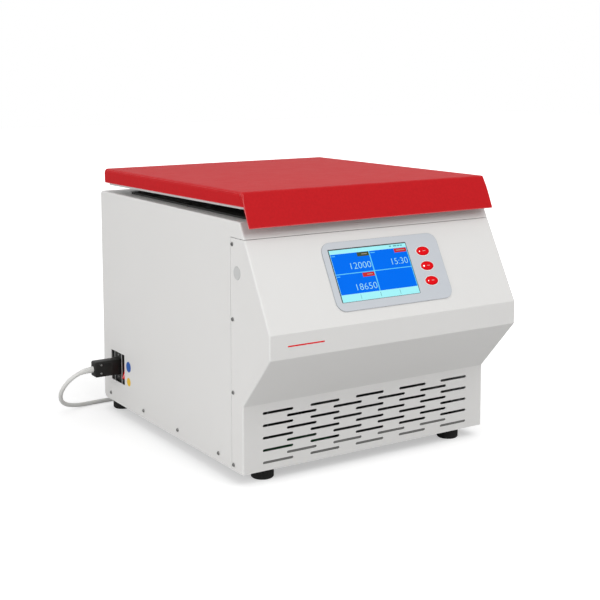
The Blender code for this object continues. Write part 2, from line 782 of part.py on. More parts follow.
def feet():
    top = BASE_Z - SEAT_GAP
    chamfer = FOOT_RADIUS - FOOT_TREAD_RADIUS
    profile = [(0, 0), (FOOT_TREAD_RADIUS, 0), (FOOT_RADIUS, chamfer), (FOOT_RADIUS, top), (0, top)]
    shape = turned(profile, 20)
    for side, word in ((-1, "left"), (1, "right")):
        front = (side * FRONT_FOOT_X, FRONT_FOOT_Y, 0)
        rear = (side * REAR_FOOT_X, REAR_FOOT_Y, 0)
        piece("foot_front_" + word, shape, rubber(), location=front, smooth=True)
        piece("foot_rear_" + word, shape, rubber(), location=rear, smooth=True)


def uprights():
    low = PAN_FLOOR_Z + SEAT_GAP
    high = DECK_UNDER_Z - SEAT_GAP
    wall = FIT_HALF_WIDTH - PAN_SHEET - SEAT_GAP
    for side, word in ((-1, "left"), (1, "right")):
        bend = UPRIGHT_REAR_Y - UPRIGHT_SHEET
        outline = [(wall, UPRIGHT_REAR_Y - UPRIGHT_DEPTH), (wall, UPRIGHT_REAR_Y),
                   (wall - UPRIGHT_FLANGE, UPRIGHT_REAR_Y), (wall - UPRIGHT_FLANGE, bend),
                   (wall - UPRIGHT_SHEET, bend), (wall - UPRIGHT_SHEET, UPRIGHT_REAR_Y - UPRIGHT_DEPTH)]
        post = prism([(side * x, y) for x, y in outline], "Z", low, high)
        reach = [side * (wall - UPRIGHT_SHEET) - OVERRUN, side * wall + OVERRUN]
        hole = rod(RELEASE_CAP_RADIUS + RELEASE_CLEARANCE, reach[0], reach[1], "X", (RELEASE_Y, RELEASE_Z))
        piece("upright_" + word, cut(post, hole), zinc())


# Chamber

def deck_liner():
    corners = rectangle(-LINER_HALF_WIDTH, LINER_FRONT_Y, LINER_HALF_WIDTH, LINER_REAR_Y)
    slab = prism(rounded(corners, LINER_CORNER), "Z", LINER_Z, LINER_Z + LINER_HEIGHT)
    hole = chamber_hole(BOWL_FLANGE_RADIUS + RUN_GAP)
    piece("deck_liner", cut(slab, gathered([hole, latch_slot()])), black_plastic())


def rotor_bowl(centre):
    outer = BOWL_RADIUS + BOWL_SHEET
    under = LINER_Z
    top = under + BOWL_FLANGE_SHEET
    floor = BOWL_FLOOR_Z
    hub = BOWL_HUB_RADIUS
    inside = [(BOWL_RADIUS, top)]
    inside += quarter(BOWL_RADIUS - BOWL_CORNER, floor + BOWL_SHEET + BOWL_CORNER, BOWL_CORNER)
    inside += [(hub + BOWL_SHEET, floor + BOWL_SHEET), (hub + BOWL_SHEET, floor + BOWL_HUB_HEIGHT),
               (hub, floor + BOWL_HUB_HEIGHT), (hub, floor)]
    outside = quarter(outer - BOWL_CORNER, floor + BOWL_CORNER, BOWL_CORNER)[::-1]
    outside += [(outer, under), (BOWL_FLANGE_RADIUS, under), (BOWL_FLANGE_RADIUS, top)]
    piece("rotor_bowl", turned(inside + outside, 48), steel(), parent=centre, smooth=True)


def quarter(radius, height, bend, steps=4):
    """The lower outer quarter of a circle, from the side down to the floor."""
    turns = [pi / 2 * step / steps for step in range(steps + 1)]
    return [(radius + bend * cos(turn), height - bend * sin(turn)) for turn in turns]


def lid_seal(centre):
    low = LINER_Z + BOWL_FLANGE_SHEET + SEAT_GAP
    width = SEAL_OUTER_RADIUS - SEAL_INNER_RADIUS
    lip = low + SEAL_HEIGHT
    profile = [(SEAL_INNER_RADIUS, low), (SEAL_OUTER_RADIUS, low), (SEAL_OUTER_RADIUS, low + SEAL_HEIGHT / 2),
               (SEAL_OUTER_RADIUS - width / 3, lip), (SEAL_INNER_RADIUS + width / 3, lip),
               (SEAL_INNER_RADIUS, low + SEAL_HEIGHT / 2)]
    piece("lid_seal", turned(profile, 48), rubber(), parent=centre, smooth=True)


def guard_ring(centre):
    low = PLATE_Z + PLATE_THICKNESS + SEAT_GAP
    ring = tube_wall(RING_INNER_RADIUS + RING_WALL, RING_INNER_RADIUS, low, DECK_UNDER_Z - SEAT_GAP, 40)
    piece("guard_ring", ring, steel(), parent=centre, smooth=True)


def chamber_plate():
    half = PLATE_SIZE / 2
    corners = rectangle(-half, CHAMBER_Y - half, half, CHAMBER_Y + half)
    slab = prism(corners, "Z", PLATE_Z, PLATE_Z + PLATE_THICKNESS)
    high = PLATE_Z + PLATE_THICKNESS + OVERRUN
    hole = rod(PLATE_HOLE_RADIUS, PLATE_Z - OVERRUN, high, centre=(0, CHAMBER_Y))
    piece("chamber_plate", cut(slab, hole), zinc())


def plate_stands():
    """A folded channel on each side, from the pan up to the chamber plate."""
    low = PAN_FLOOR_Z + SEAT_GAP
    high = PLATE_Z - SEAT_GAP
    sheet = STAND_SHEET
    for side, word in ((-1, "left"), (1, "right")):
        outer = STAND_X + STAND_FLANGE
        outline = [(STAND_X, low), (outer, low), (outer, low + sheet), (STAND_X + sheet, low + sheet),
                   (STAND_X + sheet, high - sheet), (outer, high - sheet), (outer, high), (STAND_X, high)]
        half = STAND_LENGTH / 2
        channel = prism([(side * x, z) for x, z in outline], "Y", CHAMBER_Y - half, CHAMBER_Y + half)
        piece("plate_stand_" + word, channel, zinc())


# Drive

def dampers(centre):
    shape = rod(DAMPER_RADIUS, PAN_FLOOR_Z + SEAT_GAP, PAN_FLOOR_Z + SEAT_GAP + DAMPER_HEIGHT, segments=16)
    for number in range(DAMPERS):
        turn = 2 * pi * number / DAMPERS
        spot = (DAMPER_RING_RADIUS * cos(turn), DAMPER_RING_RADIUS * sin(turn), 0)
        piece("motor_damper_" + str(number + 1), shape, rubber(), parent=centre, location=spot, smooth=True)


def drive_motor(centre):
    flange = MOTOR_Z + MOTOR_FLANGE_HEIGHT
    shoulder = flange + MOTOR_HEIGHT
    room = MOTOR_RADIUS - MOTOR_WALL
    bore = SPINDLE_RADIUS + RUN_GAP
    profile = [(0, MOTOR_Z), (MOTOR_FLANGE_RADIUS, MOTOR_Z), (MOTOR_FLANGE_RADIUS, flange),
               (MOTOR_RADIUS, flange), (MOTOR_RADIUS, shoulder), (MOTOR_NECK_RADIUS, shoulder),
               (MOTOR_NECK_RADIUS, MOTOR_NECK_TOP_Z), (bore, MOTOR_NECK_TOP_Z), (bore, shoulder - MOTOR_WALL),
               (room, shoulder - MOTOR_WALL), (room, flange + MOTOR_WALL), (bore, flange + MOTOR_WALL),
               (bore, flange), (0, flange)]
    piece("drive_motor", turned(profile, 32), steel(), parent=centre, smooth=True)


def spindle(axis):
    flange = MOTOR_Z + MOTOR_FLANGE_HEIGHT
    low = flange + MOTOR_WALL + ARMATURE_GAP
    high = flange + MOTOR_HEIGHT - MOTOR_WALL - ARMATURE_GAP
    room = MOTOR_RADIUS - MOTOR_WALL - ARMATURE_GAP
    tip = ROTOR_HUB_Z + SPINDLE_REACH
    profile = [(0, flange + SEAT_GAP), (SPINDLE_RADIUS, flange + SEAT_GAP), (SPINDLE_RADIUS, low),
               (room, low), (room, high), (SPINDLE_RADIUS, high), (SPINDLE_RADIUS, tip), (0, tip)]
    piece("spindle", turned(profile, 24), steel(), parent=axis, smooth=True)


def spindle_boot(centre):
    low = BOWL_FLOOR_Z - BOWL_HUB_HEIGHT / 2
    neck = BOWL_HUB_RADIUS - SEAT_GAP
    high = BOWL_FLOOR_Z + BOWL_HUB_HEIGHT + SEAT_GAP
    top = high + BOWL_SHEET
    rim = BOWL_HUB_RADIUS + BOWL_SHEET
    profile = [(BOOT_INNER_RADIUS, low), (neck, low), (neck, high),
               (rim, high), (rim, top), (BOOT_INNER_RADIUS, top)]
    piece("spindle_boot", turned(profile, 24), rubber(), parent=centre, smooth=True)


def rotor(axis):
    bore = SPINDLE_RADIUS + SEAT_GAP
    profile = [(bore, ROTOR_FLOOR_Z), (ROTOR_BASE_RADIUS, ROTOR_FLOOR_Z), (ROTOR_WIDEST_RADIUS, ROTOR_SKIRT_Z),
               (ROTOR_WIDEST_RADIUS, ROTOR_WIDEST_Z), (ROTOR_RIM_RADIUS, ROTOR_RIM_Z),
               (ROTOR_LIP_RADIUS, ROTOR_LIP_Z), (ROTOR_HUB_RADIUS, ROTOR_HUB_Z), (bore, ROTOR_HUB_Z)]
    holes = []
    reach = (ROTOR_RIM_Z - BORE_FLOOR_Z) / cos(BORE_TILT) + BORE_RADIUS
    for number in range(BORES):
        hole = rod(BORE_RADIUS, 0, reach, segments=16)
        lean = Matrix.Rotation(-BORE_TILT, 4, "Y")
        seat = Matrix.Translation((BORE_FLOOR_RADIUS, 0, BORE_FLOOR_Z))
        holes.append(placed(hole, Matrix.Rotation(2 * pi * number / BORES, 4, "Z") @ seat @ lean))
    body = turned(profile, 36)
    for hole in holes:
        body = cut(body, hole)
    piece("rotor", body, aluminium(), parent=axis, smooth=True)


def rotor_nut(axis):
    low = ROTOR_HUB_Z + SEAT_GAP
    hole = SPINDLE_RADIUS + SEAT_GAP
    step = low + NUT_HEIGHT - NUT_GRIP_HEIGHT
    top = low + NUT_HEIGHT
    crown = ROTOR_HUB_Z + SPINDLE_REACH + RUN_GAP
    bevel = NUT_RADIUS - NUT_COLLAR_RADIUS
    profile = [(hole, low), (NUT_COLLAR_RADIUS, low), (NUT_COLLAR_RADIUS, step - bevel), (NUT_RADIUS, step),
               (NUT_RADIUS, top - bevel / 3), (NUT_RADIUS - bevel / 3, top), (0, top), (0, crown), (hole, crown)]
    piece("rotor_nut", turned(profile, 24), black_plastic(), parent=axis, smooth=True)


# Lid: every place is measured from the hinge axis

def lid_spot(y, z):
    return (y - HINGE_Y, z - HINGE_Z)


def flap_y(z, depth=0.0):
    """The flap's place at a height, on its outer face or some depth behind it."""
    outer = LID_FRONT_Y - (LID_FRONT_TOP_Z - z) * FLAP_RUN
    return outer + depth * hypot(1, FLAP_RUN)


def lid_cover(axis):
    foot_rise = LID_SHEET * FLAP_RUN / hypot(1, FLAP_RUN)
    foot_z = FLAP_FOOT_Z - foot_rise
    corners = [(FLAP_FOOT_Y, FLAP_FOOT_Z), (flap_y(foot_z, LID_SHEET), foot_z),
               (flap_y(LID_SKIRT_Z, LID_SHEET), LID_SKIRT_Z), (LID_REAR_Y, LID_SKIRT_Z),
               (LID_REAR_Y, LID_REAR_TOP_Z), (LID_FRONT_Y, LID_FRONT_TOP_Z)]
    radii = [0, 0, 0, LID_EDGE_RADIUS, LID_REAR_ROUND, FLAP_BEND_RADIUS]
    half = LID_WIDTH / 2
    outside = prism(rounded([lid_spot(*corner) for corner in corners], radii), "X", -half, half)
    outside = soften(outside, lambda normal: normal.z > 0.5 or normal.y > 0.3, LID_EDGE_RADIUS)
    low = LID_SKIRT_Z - OVERRUN
    inner_top = [(LID_REAR_Y - LID_SHEET, LID_REAR_TOP_Z - LID_SHEET),
                 (LID_FRONT_Y, LID_FRONT_TOP_Z - LID_SHEET)]
    inner_top[1] = (flap_y(inner_top[1][1], LID_SHEET), inner_top[1][1])
    hollow = [(flap_y(LID_SKIRT_Z, LID_SHEET), LID_SKIRT_Z), (flap_y(low, 2 * LID_SHEET), low),
              (LID_REAR_Y - LID_SHEET, low)] + inner_top
    hollow_radii = [0, 0, 0, LID_REAR_ROUND - LID_SHEET, 0]
    hollow = rounded([lid_spot(*spot) for spot in hollow], hollow_radii)
    inside = prism(hollow, "X", -half + LID_SHEET, half - LID_SHEET)
    inside = soften(inside, lambda normal: normal.z > 0.5, LID_EDGE_RADIUS - LID_SHEET)
    piece("lid_cover", cut(outside, inside), lid_red(), parent=axis)


def lid_tray(axis):
    half = LID_WIDTH / 2 - TRAY_INSET
    rear = LID_REAR_Y - TRAY_INSET
    front = flap_y(TRAY_Z, LID_SHEET) + TRAY_FRONT_GAP
    top = LID_FRONT_TOP_Z - LID_SHEET - 2 * SEAT_GAP
    outline = rounded([(x, y - HINGE_Y) for x, y in rectangle(-half, front, half, rear)], TRAY_CORNER)
    body = prism(outline, "Z", TRAY_Z - HINGE_Z, top - HINGE_Z)
    high = LID_FRONT_TOP_Z + OVERRUN
    low = TRAY_Z - OVERRUN
    far = flap_y(low) - OVERRUN
    wedge = [lid_spot(far, low), lid_spot(flap_y(low, LID_SHEET) + TRAY_FRONT_GAP, low),
             lid_spot(flap_y(high, LID_SHEET) + TRAY_FRONT_GAP, high), lid_spot(far, high)]
    body = cut(body, prism(wedge, "X", -half - OVERRUN, half + OVERRUN))
    wall = half - TRAY_SHEET
    room_front = flap_y(top, LID_SHEET) + TRAY_FRONT_GAP + TRAY_SHEET
    room = rectangle(-wall, room_front, wall, rear - TRAY_SHEET)
    room = rounded([(x, y - HINGE_Y) for x, y in room], TRAY_CORNER - TRAY_SHEET)
    hollow = prism(room, "Z", TRAY_Z + TRAY_SHEET - HINGE_Z, top + OVERRUN - HINGE_Z)
    piece("lid_tray", cut(body, hollow), tray_grey(), parent=axis)


def lid_armour(axis):
    low = TRAY_Z + TRAY_SHEET + SEAT_GAP - HINGE_Z
    middle = CHAMBER_Y - HINGE_Y
    half_x, half_y = ARMOUR_WIDTH / 2, ARMOUR_LENGTH / 2
    corners = rectangle(-half_x, middle - half_y, half_x, middle + half_y)
    plate = prism(rounded(corners, TRAY_CORNER), "Z", low, low + ARMOUR_THICKNESS)
    piece("lid_armour", plate, steel(), parent=axis)


def lid_striker(axis):
    top = TRAY_Z - SEAT_GAP - HINGE_Z
    low = TRAY_Z - STRIKER_DROP - HINGE_Z
    middle = STRIKER_Y - HINGE_Y
    near = middle - STRIKER_THICKNESS / 2
    far = middle + STRIKER_THICKNESS / 2
    half = STRIKER_WIDTH / 2
    plate = box((-half, near, low), (half, far, top))
    eye_low = low + STRIKER_EYE_RISE
    eye = box((-STRIKER_EYE_WIDTH / 2, near - OVERRUN, eye_low),
              (STRIKER_EYE_WIDTH / 2, far + OVERRUN, eye_low + STRIKER_EYE_HEIGHT))
    foot = box((-half, near, top - STRIKER_THICKNESS / 2), (half, far + STRIKER_WIDTH / 2, top))
    piece("lid_striker", cut(fuse(plate, foot), eye), steel(), parent=axis)


def hinges(axis):
    for side, word in ((-1, "left"), (1, "right")):
        x = side * HINGE_X
        piece("hinge_leaf_" + word, hinge_leaf(), zinc(), parent=axis, location=(x, 0, 0))
        piece("hinge_bracket_" + word, hinge_bracket(), zinc(), location=(x, HINGE_Y, HINGE_Z))
        reach = LEAF_WIDTH / 2 + SEAT_GAP + BRACKET_EAR
        pin = rod(PIN_RADIUS, -reach, reach, "X", segments=16)
        piece("hinge_pin_" + word, pin, steel(), location=(x, HINGE_Y, HINGE_Z), smooth=True)


def hinge_leaf():
    half = LEAF_WIDTH / 2
    knuckle = rod(KNUCKLE_RADIUS, -half, half, "X", segments=20)
    top = TRAY_Z - SEAT_GAP - HINGE_Z
    plate = box((-half, -LEAF_LENGTH, top - LEAF_SHEET), (half, -PIN_RADIUS, top))
    bore = rod(PIN_RADIUS + SEAT_GAP, -half - OVERRUN, half + OVERRUN, "X", segments=16)
    return cut(fuse(plate, knuckle), bore)


def hinge_bracket():
    foot = DECK_Z + SEAT_GAP - HINGE_Z
    inner = LEAF_WIDTH / 2 + SEAT_GAP
    outer = inner + BRACKET_EAR
    spare = BRACKET_SHEET
    rear = KNUCKLE_RADIUS - spare / 2
    base = box((-outer - spare, rear - BRACKET_DEPTH, foot), (outer + spare, rear, foot + BRACKET_SHEET))
    turns = [pi * step / 10 for step in range(11)]
    ear = [(KNUCKLE_RADIUS * cos(turn), KNUCKLE_RADIUS * sin(turn)) for turn in turns]
    ear += [(-KNUCKLE_RADIUS, foot + spare / 2), (KNUCKLE_RADIUS, foot + spare / 2)]
    ears = [prism(ear, "X", *sorted((side * inner, side * outer))) for side in (-1, 1)]
    bore = rod(PIN_RADIUS + SEAT_GAP, -outer - OVERRUN, outer + OVERRUN, "X", segments=16)
    return cut(fuse(base, *ears), bore)


# Latch, turned back in its released state

def latch_case():
    half = LATCH_CASE_WIDTH / 2
    top = DECK_UNDER_Z - SEAT_GAP
    case = box((-half, LATCH_CASE_FRONT_Y, LATCH_CASE_FOOT_Z), (half, LATCH_CASE_REAR_Y, top))
    room = box((-half + LATCH_WALL, LATCH_CASE_FRONT_Y + LATCH_WALL, LATCH_CASE_FOOT_Z + LATCH_WALL),
               (half - LATCH_WALL, LATCH_CASE_REAR_Y - LATCH_WALL, top + OVERRUN))
    reach = half + OVERRUN
    bore = rod(LATCH_PIN_RADIUS + RUN_GAP, -reach, reach, "X", (LATCH_AXIS_Y, LATCH_AXIS_Z), 16)
    piece("latch_case", cut(cut(case, room), bore), zinc())


def latch_hook(axis):
    half = HOOK_WIDTH / 2
    boss = rod(HOOK_BOSS_RADIUS, -half, half, "X", segments=20)
    arm = HOOK_ARM / 2
    outline = [(-arm, 0), (arm, 0), (arm, HOOK_NOSE_LOW), (HOOK_NOSE, HOOK_NOSE_LOW),
               (HOOK_NOSE - arm, HOOK_NOSE_HIGH), (-arm, HOOK_NOSE_HIGH)]
    lever = prism(outline, "X", -half, half)
    case = LATCH_CASE_WIDTH / 2
    pin = rod(LATCH_PIN_RADIUS, -case - LATCH_WALL / 2, case + LATCH_WALL - RUN_GAP, "X", segments=16)
    piece("latch_hook", fuse(boss, lever, pin), steel(), parent=axis)


def latch_motor():
    half = LATCH_CASE_WIDTH / 2
    start = half + SEAT_GAP
    spot = (LATCH_AXIS_Y, LATCH_AXIS_Z)
    motor = rod(LATCH_MOTOR_RADIUS, start, start + LATCH_MOTOR_LENGTH, "X", spot, 20)
    bore = rod(LATCH_PIN_RADIUS + RUN_GAP, start - OVERRUN, start + LATCH_WALL, "X", spot, 16)
    piece("latch_motor", cut(motor, bore), black_plastic(), smooth=True)


def emergency_release(axis):
    face = -HALF_WIDTH - RELEASE_PROUD
    cap = rod(RELEASE_CAP_RADIUS, face, face + RELEASE_CAP_DEPTH, "X")
    stem = rod(RELEASE_ROD_RADIUS, face + RELEASE_CAP_DEPTH / 2, RELEASE_ROD_END_X, "X", segments=12)
    piece("release_pull", fuse(cap, stem), fascia_grey(), parent=axis, smooth=True)


# Display and keys, in slope coordinates

def display(slope):
    plate = rounded(rectangle(FASCIA_LEFT, FASCIA_LOW, FASCIA_RIGHT, FASCIA_HIGH), FASCIA_CORNER, 6)
    low = SEAT_GAP
    face = low + FASCIA_THICKNESS
    fascia = prism(plate, "Z", low, face)
    fascia = cut(fascia, gathered(slope_openings(low - OVERRUN, face + OVERRUN, 0)))
    piece("display_fascia", fascia, fascia_grey(), parent=slope)
    trim = SEAT_GAP
    glass = rectangle(SCREEN_LEFT + trim, SCREEN_LOW + trim, SCREEN_RIGHT - trim, SCREEN_HIGH - trim)
    glass = prism(rounded(glass, SCREEN_CORNER), "Z", -SHEET, face - SEAT_GAP)
    piece("display_glass", glass, screen_blue(), parent=slope)
    edge = MODULE_MARGIN
    back = -SHEET - SEAT_GAP
    module = box((SCREEN_LEFT - edge, SCREEN_LOW - edge, back - MODULE_DEPTH),
                 (SCREEN_RIGHT + edge, SCREEN_HIGH + edge, back))
    piece("display_module", module, zinc(), parent=slope)


def keys(slope):
    face = SEAT_GAP + FASCIA_THICKNESS + KEY_PROUD
    collar_low = KEY_COLLAR_TOP - KEY_COLLAR_THICKNESS
    stem = prism(oval((0, 0), KEY_WIDTH, KEY_HEIGHT), "Z", KEY_COLLAR_TOP - KEY_COLLAR_THICKNESS / 2, face)
    width = KEY_WIDTH + 2 * (KEY_COLLAR + RUN_GAP)
    height = KEY_HEIGHT + 2 * (KEY_COLLAR + RUN_GAP)
    collar = prism(oval((0, 0), width, height), "Z", collar_low, KEY_COLLAR_TOP)
    shape = fuse(stem, collar)
    for number, word in enumerate(("lower", "middle", "upper")):
        spot = (KEY_X, KEY_LOW + number * KEY_PITCH, 0)
        piece("key_" + word, shape, key_red(), parent=slope, location=spot)


def key_board(slope):
    top = -KEY_BOARD_DEPTH
    middle = KEY_LOW + (KEYS - 1) / 2 * KEY_PITCH
    half_x = KEY_BOARD_WIDTH / 2
    half_v = KEY_BOARD_LENGTH / 2
    board = box((KEY_X - half_x, middle - half_v, top - BOARD_SHEET), (KEY_X + half_x, middle + half_v, top))
    parts = []
    switch_top = KEY_COLLAR_TOP - KEY_COLLAR_THICKNESS - KEY_TRAVEL - SEAT_GAP
    half = KEY_SWITCH_SIZE / 2
    for number in range(KEYS):
        v = KEY_LOW + number * KEY_PITCH
        parts.append(box((KEY_X - half, v - half, top - BOARD_SHEET / 2),
                         (KEY_X + half, v + half, switch_top)))
    for end in (-1, 1):
        spot = (KEY_X, middle + end * (half_v - 2 * STANDOFF_RADIUS))
        parts.append(rod(STANDOFF_RADIUS, top - BOARD_SHEET / 2, -SHEET - SEAT_GAP, centre=spot, segments=12))
    piece("key_board", fuse(board, *parts), board_green(), parent=slope)


# Mains inlet and switch

def inlet_plate():
    wall = -FIT_HALF_WIDTH
    face = INLET_FACE_X
    deep = face + INLET_PLATE_SHEET
    step = WINDOW_FRONT_Y - SWITCH_GAP_Y * 2
    flange = step - INLET_PLATE_MARGIN
    sheet = INLET_PLATE_SHEET
    outline = [(wall, flange), (wall + sheet, flange), (wall + sheet, step - sheet), (deep, step - sheet),
               (deep, INLET_PLATE_REAR_Y), (face, INLET_PLATE_REAR_Y), (face, step), (wall, step)]
    low = WINDOW_LOW_Z - INLET_PLATE_MARGIN
    high = WINDOW_HIGH_Z + INLET_PLATE_MARGIN
    plate = prism(outline, "Z", low, high)
    gap = SEAT_GAP
    near = face - OVERRUN / 2
    far = deep + OVERRUN
    half = INLET_BODY_WIDTH / 2 + gap
    tall = INLET_BODY_HEIGHT / 2 + gap
    inlet_hole = box((near, INLET_Y - half, INLET_Z - tall), (far, INLET_Y + half, INLET_Z + tall))
    half = SWITCH_WIDTH / 2 - SWITCH_WALL / 2 + gap
    tall = SWITCH_BODY_HEIGHT / 2 + gap
    switch_hole = box((near, switch_y() - half, ROCKER_Z - tall), (far, switch_y() + half, ROCKER_Z + tall))
    piece("inlet_plate", cut(plate, gathered([inlet_hole, switch_hole])), tray_grey())


def switch_y():
    return WINDOW_FRONT_Y + SWITCH_WIDTH / 2 - SWITCH_GAP_Y


def mains_inlet():
    back = INLET_FACE_X - SEAT_GAP
    face = back - INLET_FLANGE_THICKNESS
    wide = INLET_FLANGE_WIDTH / 2
    tall = INLET_FLANGE_HEIGHT / 2
    flange = box((face, INLET_Y - wide, INLET_Z - tall), (back, INLET_Y + wide, INLET_Z + tall))
    wide = INLET_BODY_WIDTH / 2
    tall = INLET_BODY_HEIGHT / 2
    body = box((back - INLET_FLANGE_THICKNESS / 2, INLET_Y - wide, INLET_Z - tall),
               (back + INLET_BODY_DEPTH, INLET_Y + wide, INLET_Z + tall))
    wide = SOCKET_WIDTH / 2
    tall = SOCKET_HEIGHT / 2
    socket = box((face - OVERRUN, INLET_Y - wide, INLET_Z - tall),
                 (face + SOCKET_DEPTH, INLET_Y + wide, INLET_Z + tall))
    piece("mains_inlet", cut(fuse(flange, body), socket), black_plastic())


def mains_switch():
    back = INLET_FACE_X - SEAT_GAP
    wide = SWITCH_WIDTH / 2
    flange_middle = (WINDOW_LOW_Z + WINDOW_HIGH_Z) / 2
    tall = SWITCH_HEIGHT / 2
    flange = box((back - SWITCH_WALL, switch_y() - wide, flange_middle - tall),
                 (back, switch_y() + wide, flange_middle + tall))
    narrow = wide - SWITCH_WALL / 2
    tall = SWITCH_BODY_HEIGHT / 2
    body = box((back - SWITCH_WALL / 2, switch_y() - narrow, ROCKER_Z - tall),
               (back + SWITCH_BODY_DEPTH, switch_y() + narrow, ROCKER_Z + tall))
    narrow = wide - SWITCH_WALL
    room_tall = tall - SWITCH_WALL
    room = box((back - SWITCH_WALL - OVERRUN, switch_y() - narrow, ROCKER_Z - room_tall),
               (back + SWITCH_BODY_DEPTH - SWITCH_WALL, switch_y() + narrow, ROCKER_Z + room_tall))
    piece("mains_switch", cut(fuse(flange, body), room), black_plastic())


def mains_rocker(axis):
    half = ROCKER_LENGTH / 2
    outline = [(-ROCKER_PROUD, half), (-ROCKER_DIP, 0), (-ROCKER_PROUD, -half),
               (ROCKER_BACK, -half), (ROCKER_BACK, half)]
    wide = SWITCH_WIDTH / 2 - SWITCH_WALL - RUN_GAP
    piece("mains_rocker", prism(outline, "Y", -wide, wide), key_red(), parent=axis)


# Mains lead

def cord_connector():
    root = INLET_FACE_X - SEAT_GAP - INLET_FLANGE_THICKNESS - SEAT_GAP
    end = root - CONNECTOR_LENGTH
    tall = CONNECTOR_HEIGHT / 2
    low = INLET_Z - tall
    high = INLET_Z + tall
    trim = CONNECTOR_CHAMFER
    outline = [(end, low + trim), (end + trim, low), (root, low),
               (root, high), (end + trim, high), (end, high - trim)]
    body = prism(outline, "Y", INLET_Y - CONNECTOR_WIDTH / 2, INLET_Y + CONNECTOR_WIDTH / 2)
    wide = SOCKET_WIDTH / 2 - SEAT_GAP
    tall = SOCKET_HEIGHT / 2 - SEAT_GAP
    nose = box((root - OVERRUN, INLET_Y - wide, INLET_Z - tall),
               (root + SOCKET_DEPTH - SEAT_GAP, INLET_Y + wide, INLET_Z + tall))
    piece("cord_connector", fuse(body, nose), black_plastic())
    return end


def smooth_path(route, count):
    """Evenly spaced points on a smooth curve through the route's own points."""
    spots = [Vector(spot) for spot in route]
    spots = [2 * spots[0] - spots[1]] + spots + [2 * spots[-1] - spots[-2]]
    fine = []
    for place in range(1, len(spots) - 2):
        for step in range(12):
            fine.append(curve_spot(spots[place - 1:place + 3], step / 12))
    fine.append(spots[-2])
    lengths = [0.0]
    for before, after in zip(fine, fine[1:]):
        lengths.append(lengths[-1] + (after - before).length)
    path = []
    place = 0
    for number in range(count):
        goal = lengths[-1] * number / (count - 1)
        while place < len(lengths) - 2 and lengths[place + 1] < goal:
            place += 1
        share = (goal - lengths[place]) / (lengths[place + 1] - lengths[place])
        path.append(fine[place].lerp(fine[place + 1], share))
    return path


def curve_spot(spots, share):
    """A point between the middle two of four spots."""
    first, second, third, fourth = spots
    bend = (2 * first - 5 * second + 4 * third - fourth) * share ** 2
    twist = (3 * second - first - 3 * third + fourth) * share ** 3
    return (2 * second + (third - first) * share + bend + twist) / 2


def tube(name, path, radius, resolution, material):
    curve = bpy.data.curves.new(name, "CURVE")
    curve.dimensions = "3D"
    spline = curve.splines.new("POLY")
    spline.points.add(len(path) - 1)
    for point, spot in zip(spline.points, path):
        point.co = (*spot, 1)
    curve.bevel_depth = radius
    curve.bevel_resolution = resolution
    curve.use_fill_caps = True
    curve.materials.append(material)
    item = bpy.data.objects.new(name, curve)
    bpy.context.scene.collection.objects.link(item)
    return item


def coil_path():
    """Two layers of turns: the spiral runs in, climbs, and runs out again on top, up to the plug."""
    inward = COIL_TURNS * COIL_STEPS
    climb = COIL_STEPS // 2
    total = 2 * inward + climb - COIL_STEPS // 4
    path = [Vector((COIL_X - COIL_LEAD, COIL_Y - COIL_OUTER_RADIUS, COIL_FLOOR))]
    middle = inward + climb / 2
    lift = PLUG_RADIUS + SEAT_GAP - COIL_FLOOR - COIL_PITCH
    for step in range(total + 1):
        turn = 2 * pi * step / COIL_STEPS - pi / 2
        radius = COIL_OUTER_RADIUS - COIL_PITCH * (middle - abs(step - middle)) / COIL_STEPS
        layer = min(max((step - inward) / climb, 0), 1)
        rise = max(1 - (total - step) / climb, 0)
        height = COIL_FLOOR + COIL_PITCH * layer + lift * rise
        path.append(Vector((COIL_X + radius * cos(turn), COIL_Y + radius * sin(turn), height)))
    heading = Vector((-sin(turn), cos(turn), 0))
    path.append(path[-1] + heading * COIL_LEAD)
    return path


def coil_gap(path):
    """The least gap between parts of the coil that aren't neighbours along it."""
    least = 1.0
    apart = COIL_STEPS // 3
    for place, spot in enumerate(path):
        for other in path[place + apart:]:
            least = min(least, (spot - other).length)
    return least - 2 * CORD_RADIUS


def mains_lead():
    end = cord_connector()
    coil = coil_path()
    start = Vector((end - 3 * SEAT_GAP, INLET_Y, INLET_Z))
    finish_x = coil[0].x - SEAT_GAP
    last = Vector((finish_x, coil[0].y, coil[0].z))
    free = smooth_path([start] + CORD_ROUTE + [last], CORD_POINTS)
    tube("mains_cord", free, CORD_RADIUS, 2, cord_grey())
    tube("cord_coil", coil, CORD_RADIUS, 1, cord_grey())
    print("least gap in the coil, mm:", round(coil_gap(coil) * 1000, 2))
    wall_plug(coil[-1], (coil[-1] - coil[-2]).normalized())
    reach = sum((after - before).length for path in (free, coil) for before, after in zip(path, path[1:]))
    print("cord length, m:", round(reach, 3))


def wall_plug(start, heading):
    tail = PLUG_TAIL_LENGTH
    full = tail + PLUG_LENGTH
    profile = [(0, 0), (PLUG_TAIL_RADIUS, 0), (PLUG_TAIL_RADIUS, tail / 2), (PLUG_RADIUS, tail + PLUG_LENGTH / 3),
               (PLUG_RADIUS, full), (0, full)]
    body = turned(profile, 20)
    for side in (-1, 1):
        spot = (0, side * PLUG_PIN_SPACING / 2)
        pin = rod(PLUG_PIN_RADIUS, full - OVERRUN, full + PLUG_PIN_LENGTH, centre=spot, segments=10)
        body = fuse(body, pin)
    turn = Vector((0, 0, 1)).rotation_difference(heading).to_matrix().to_4x4()
    body = placed(body, turn)
    piece("wall_plug", body, cord_grey(), location=start + heading * SEAT_GAP, smooth=True)


# Electronics and fan

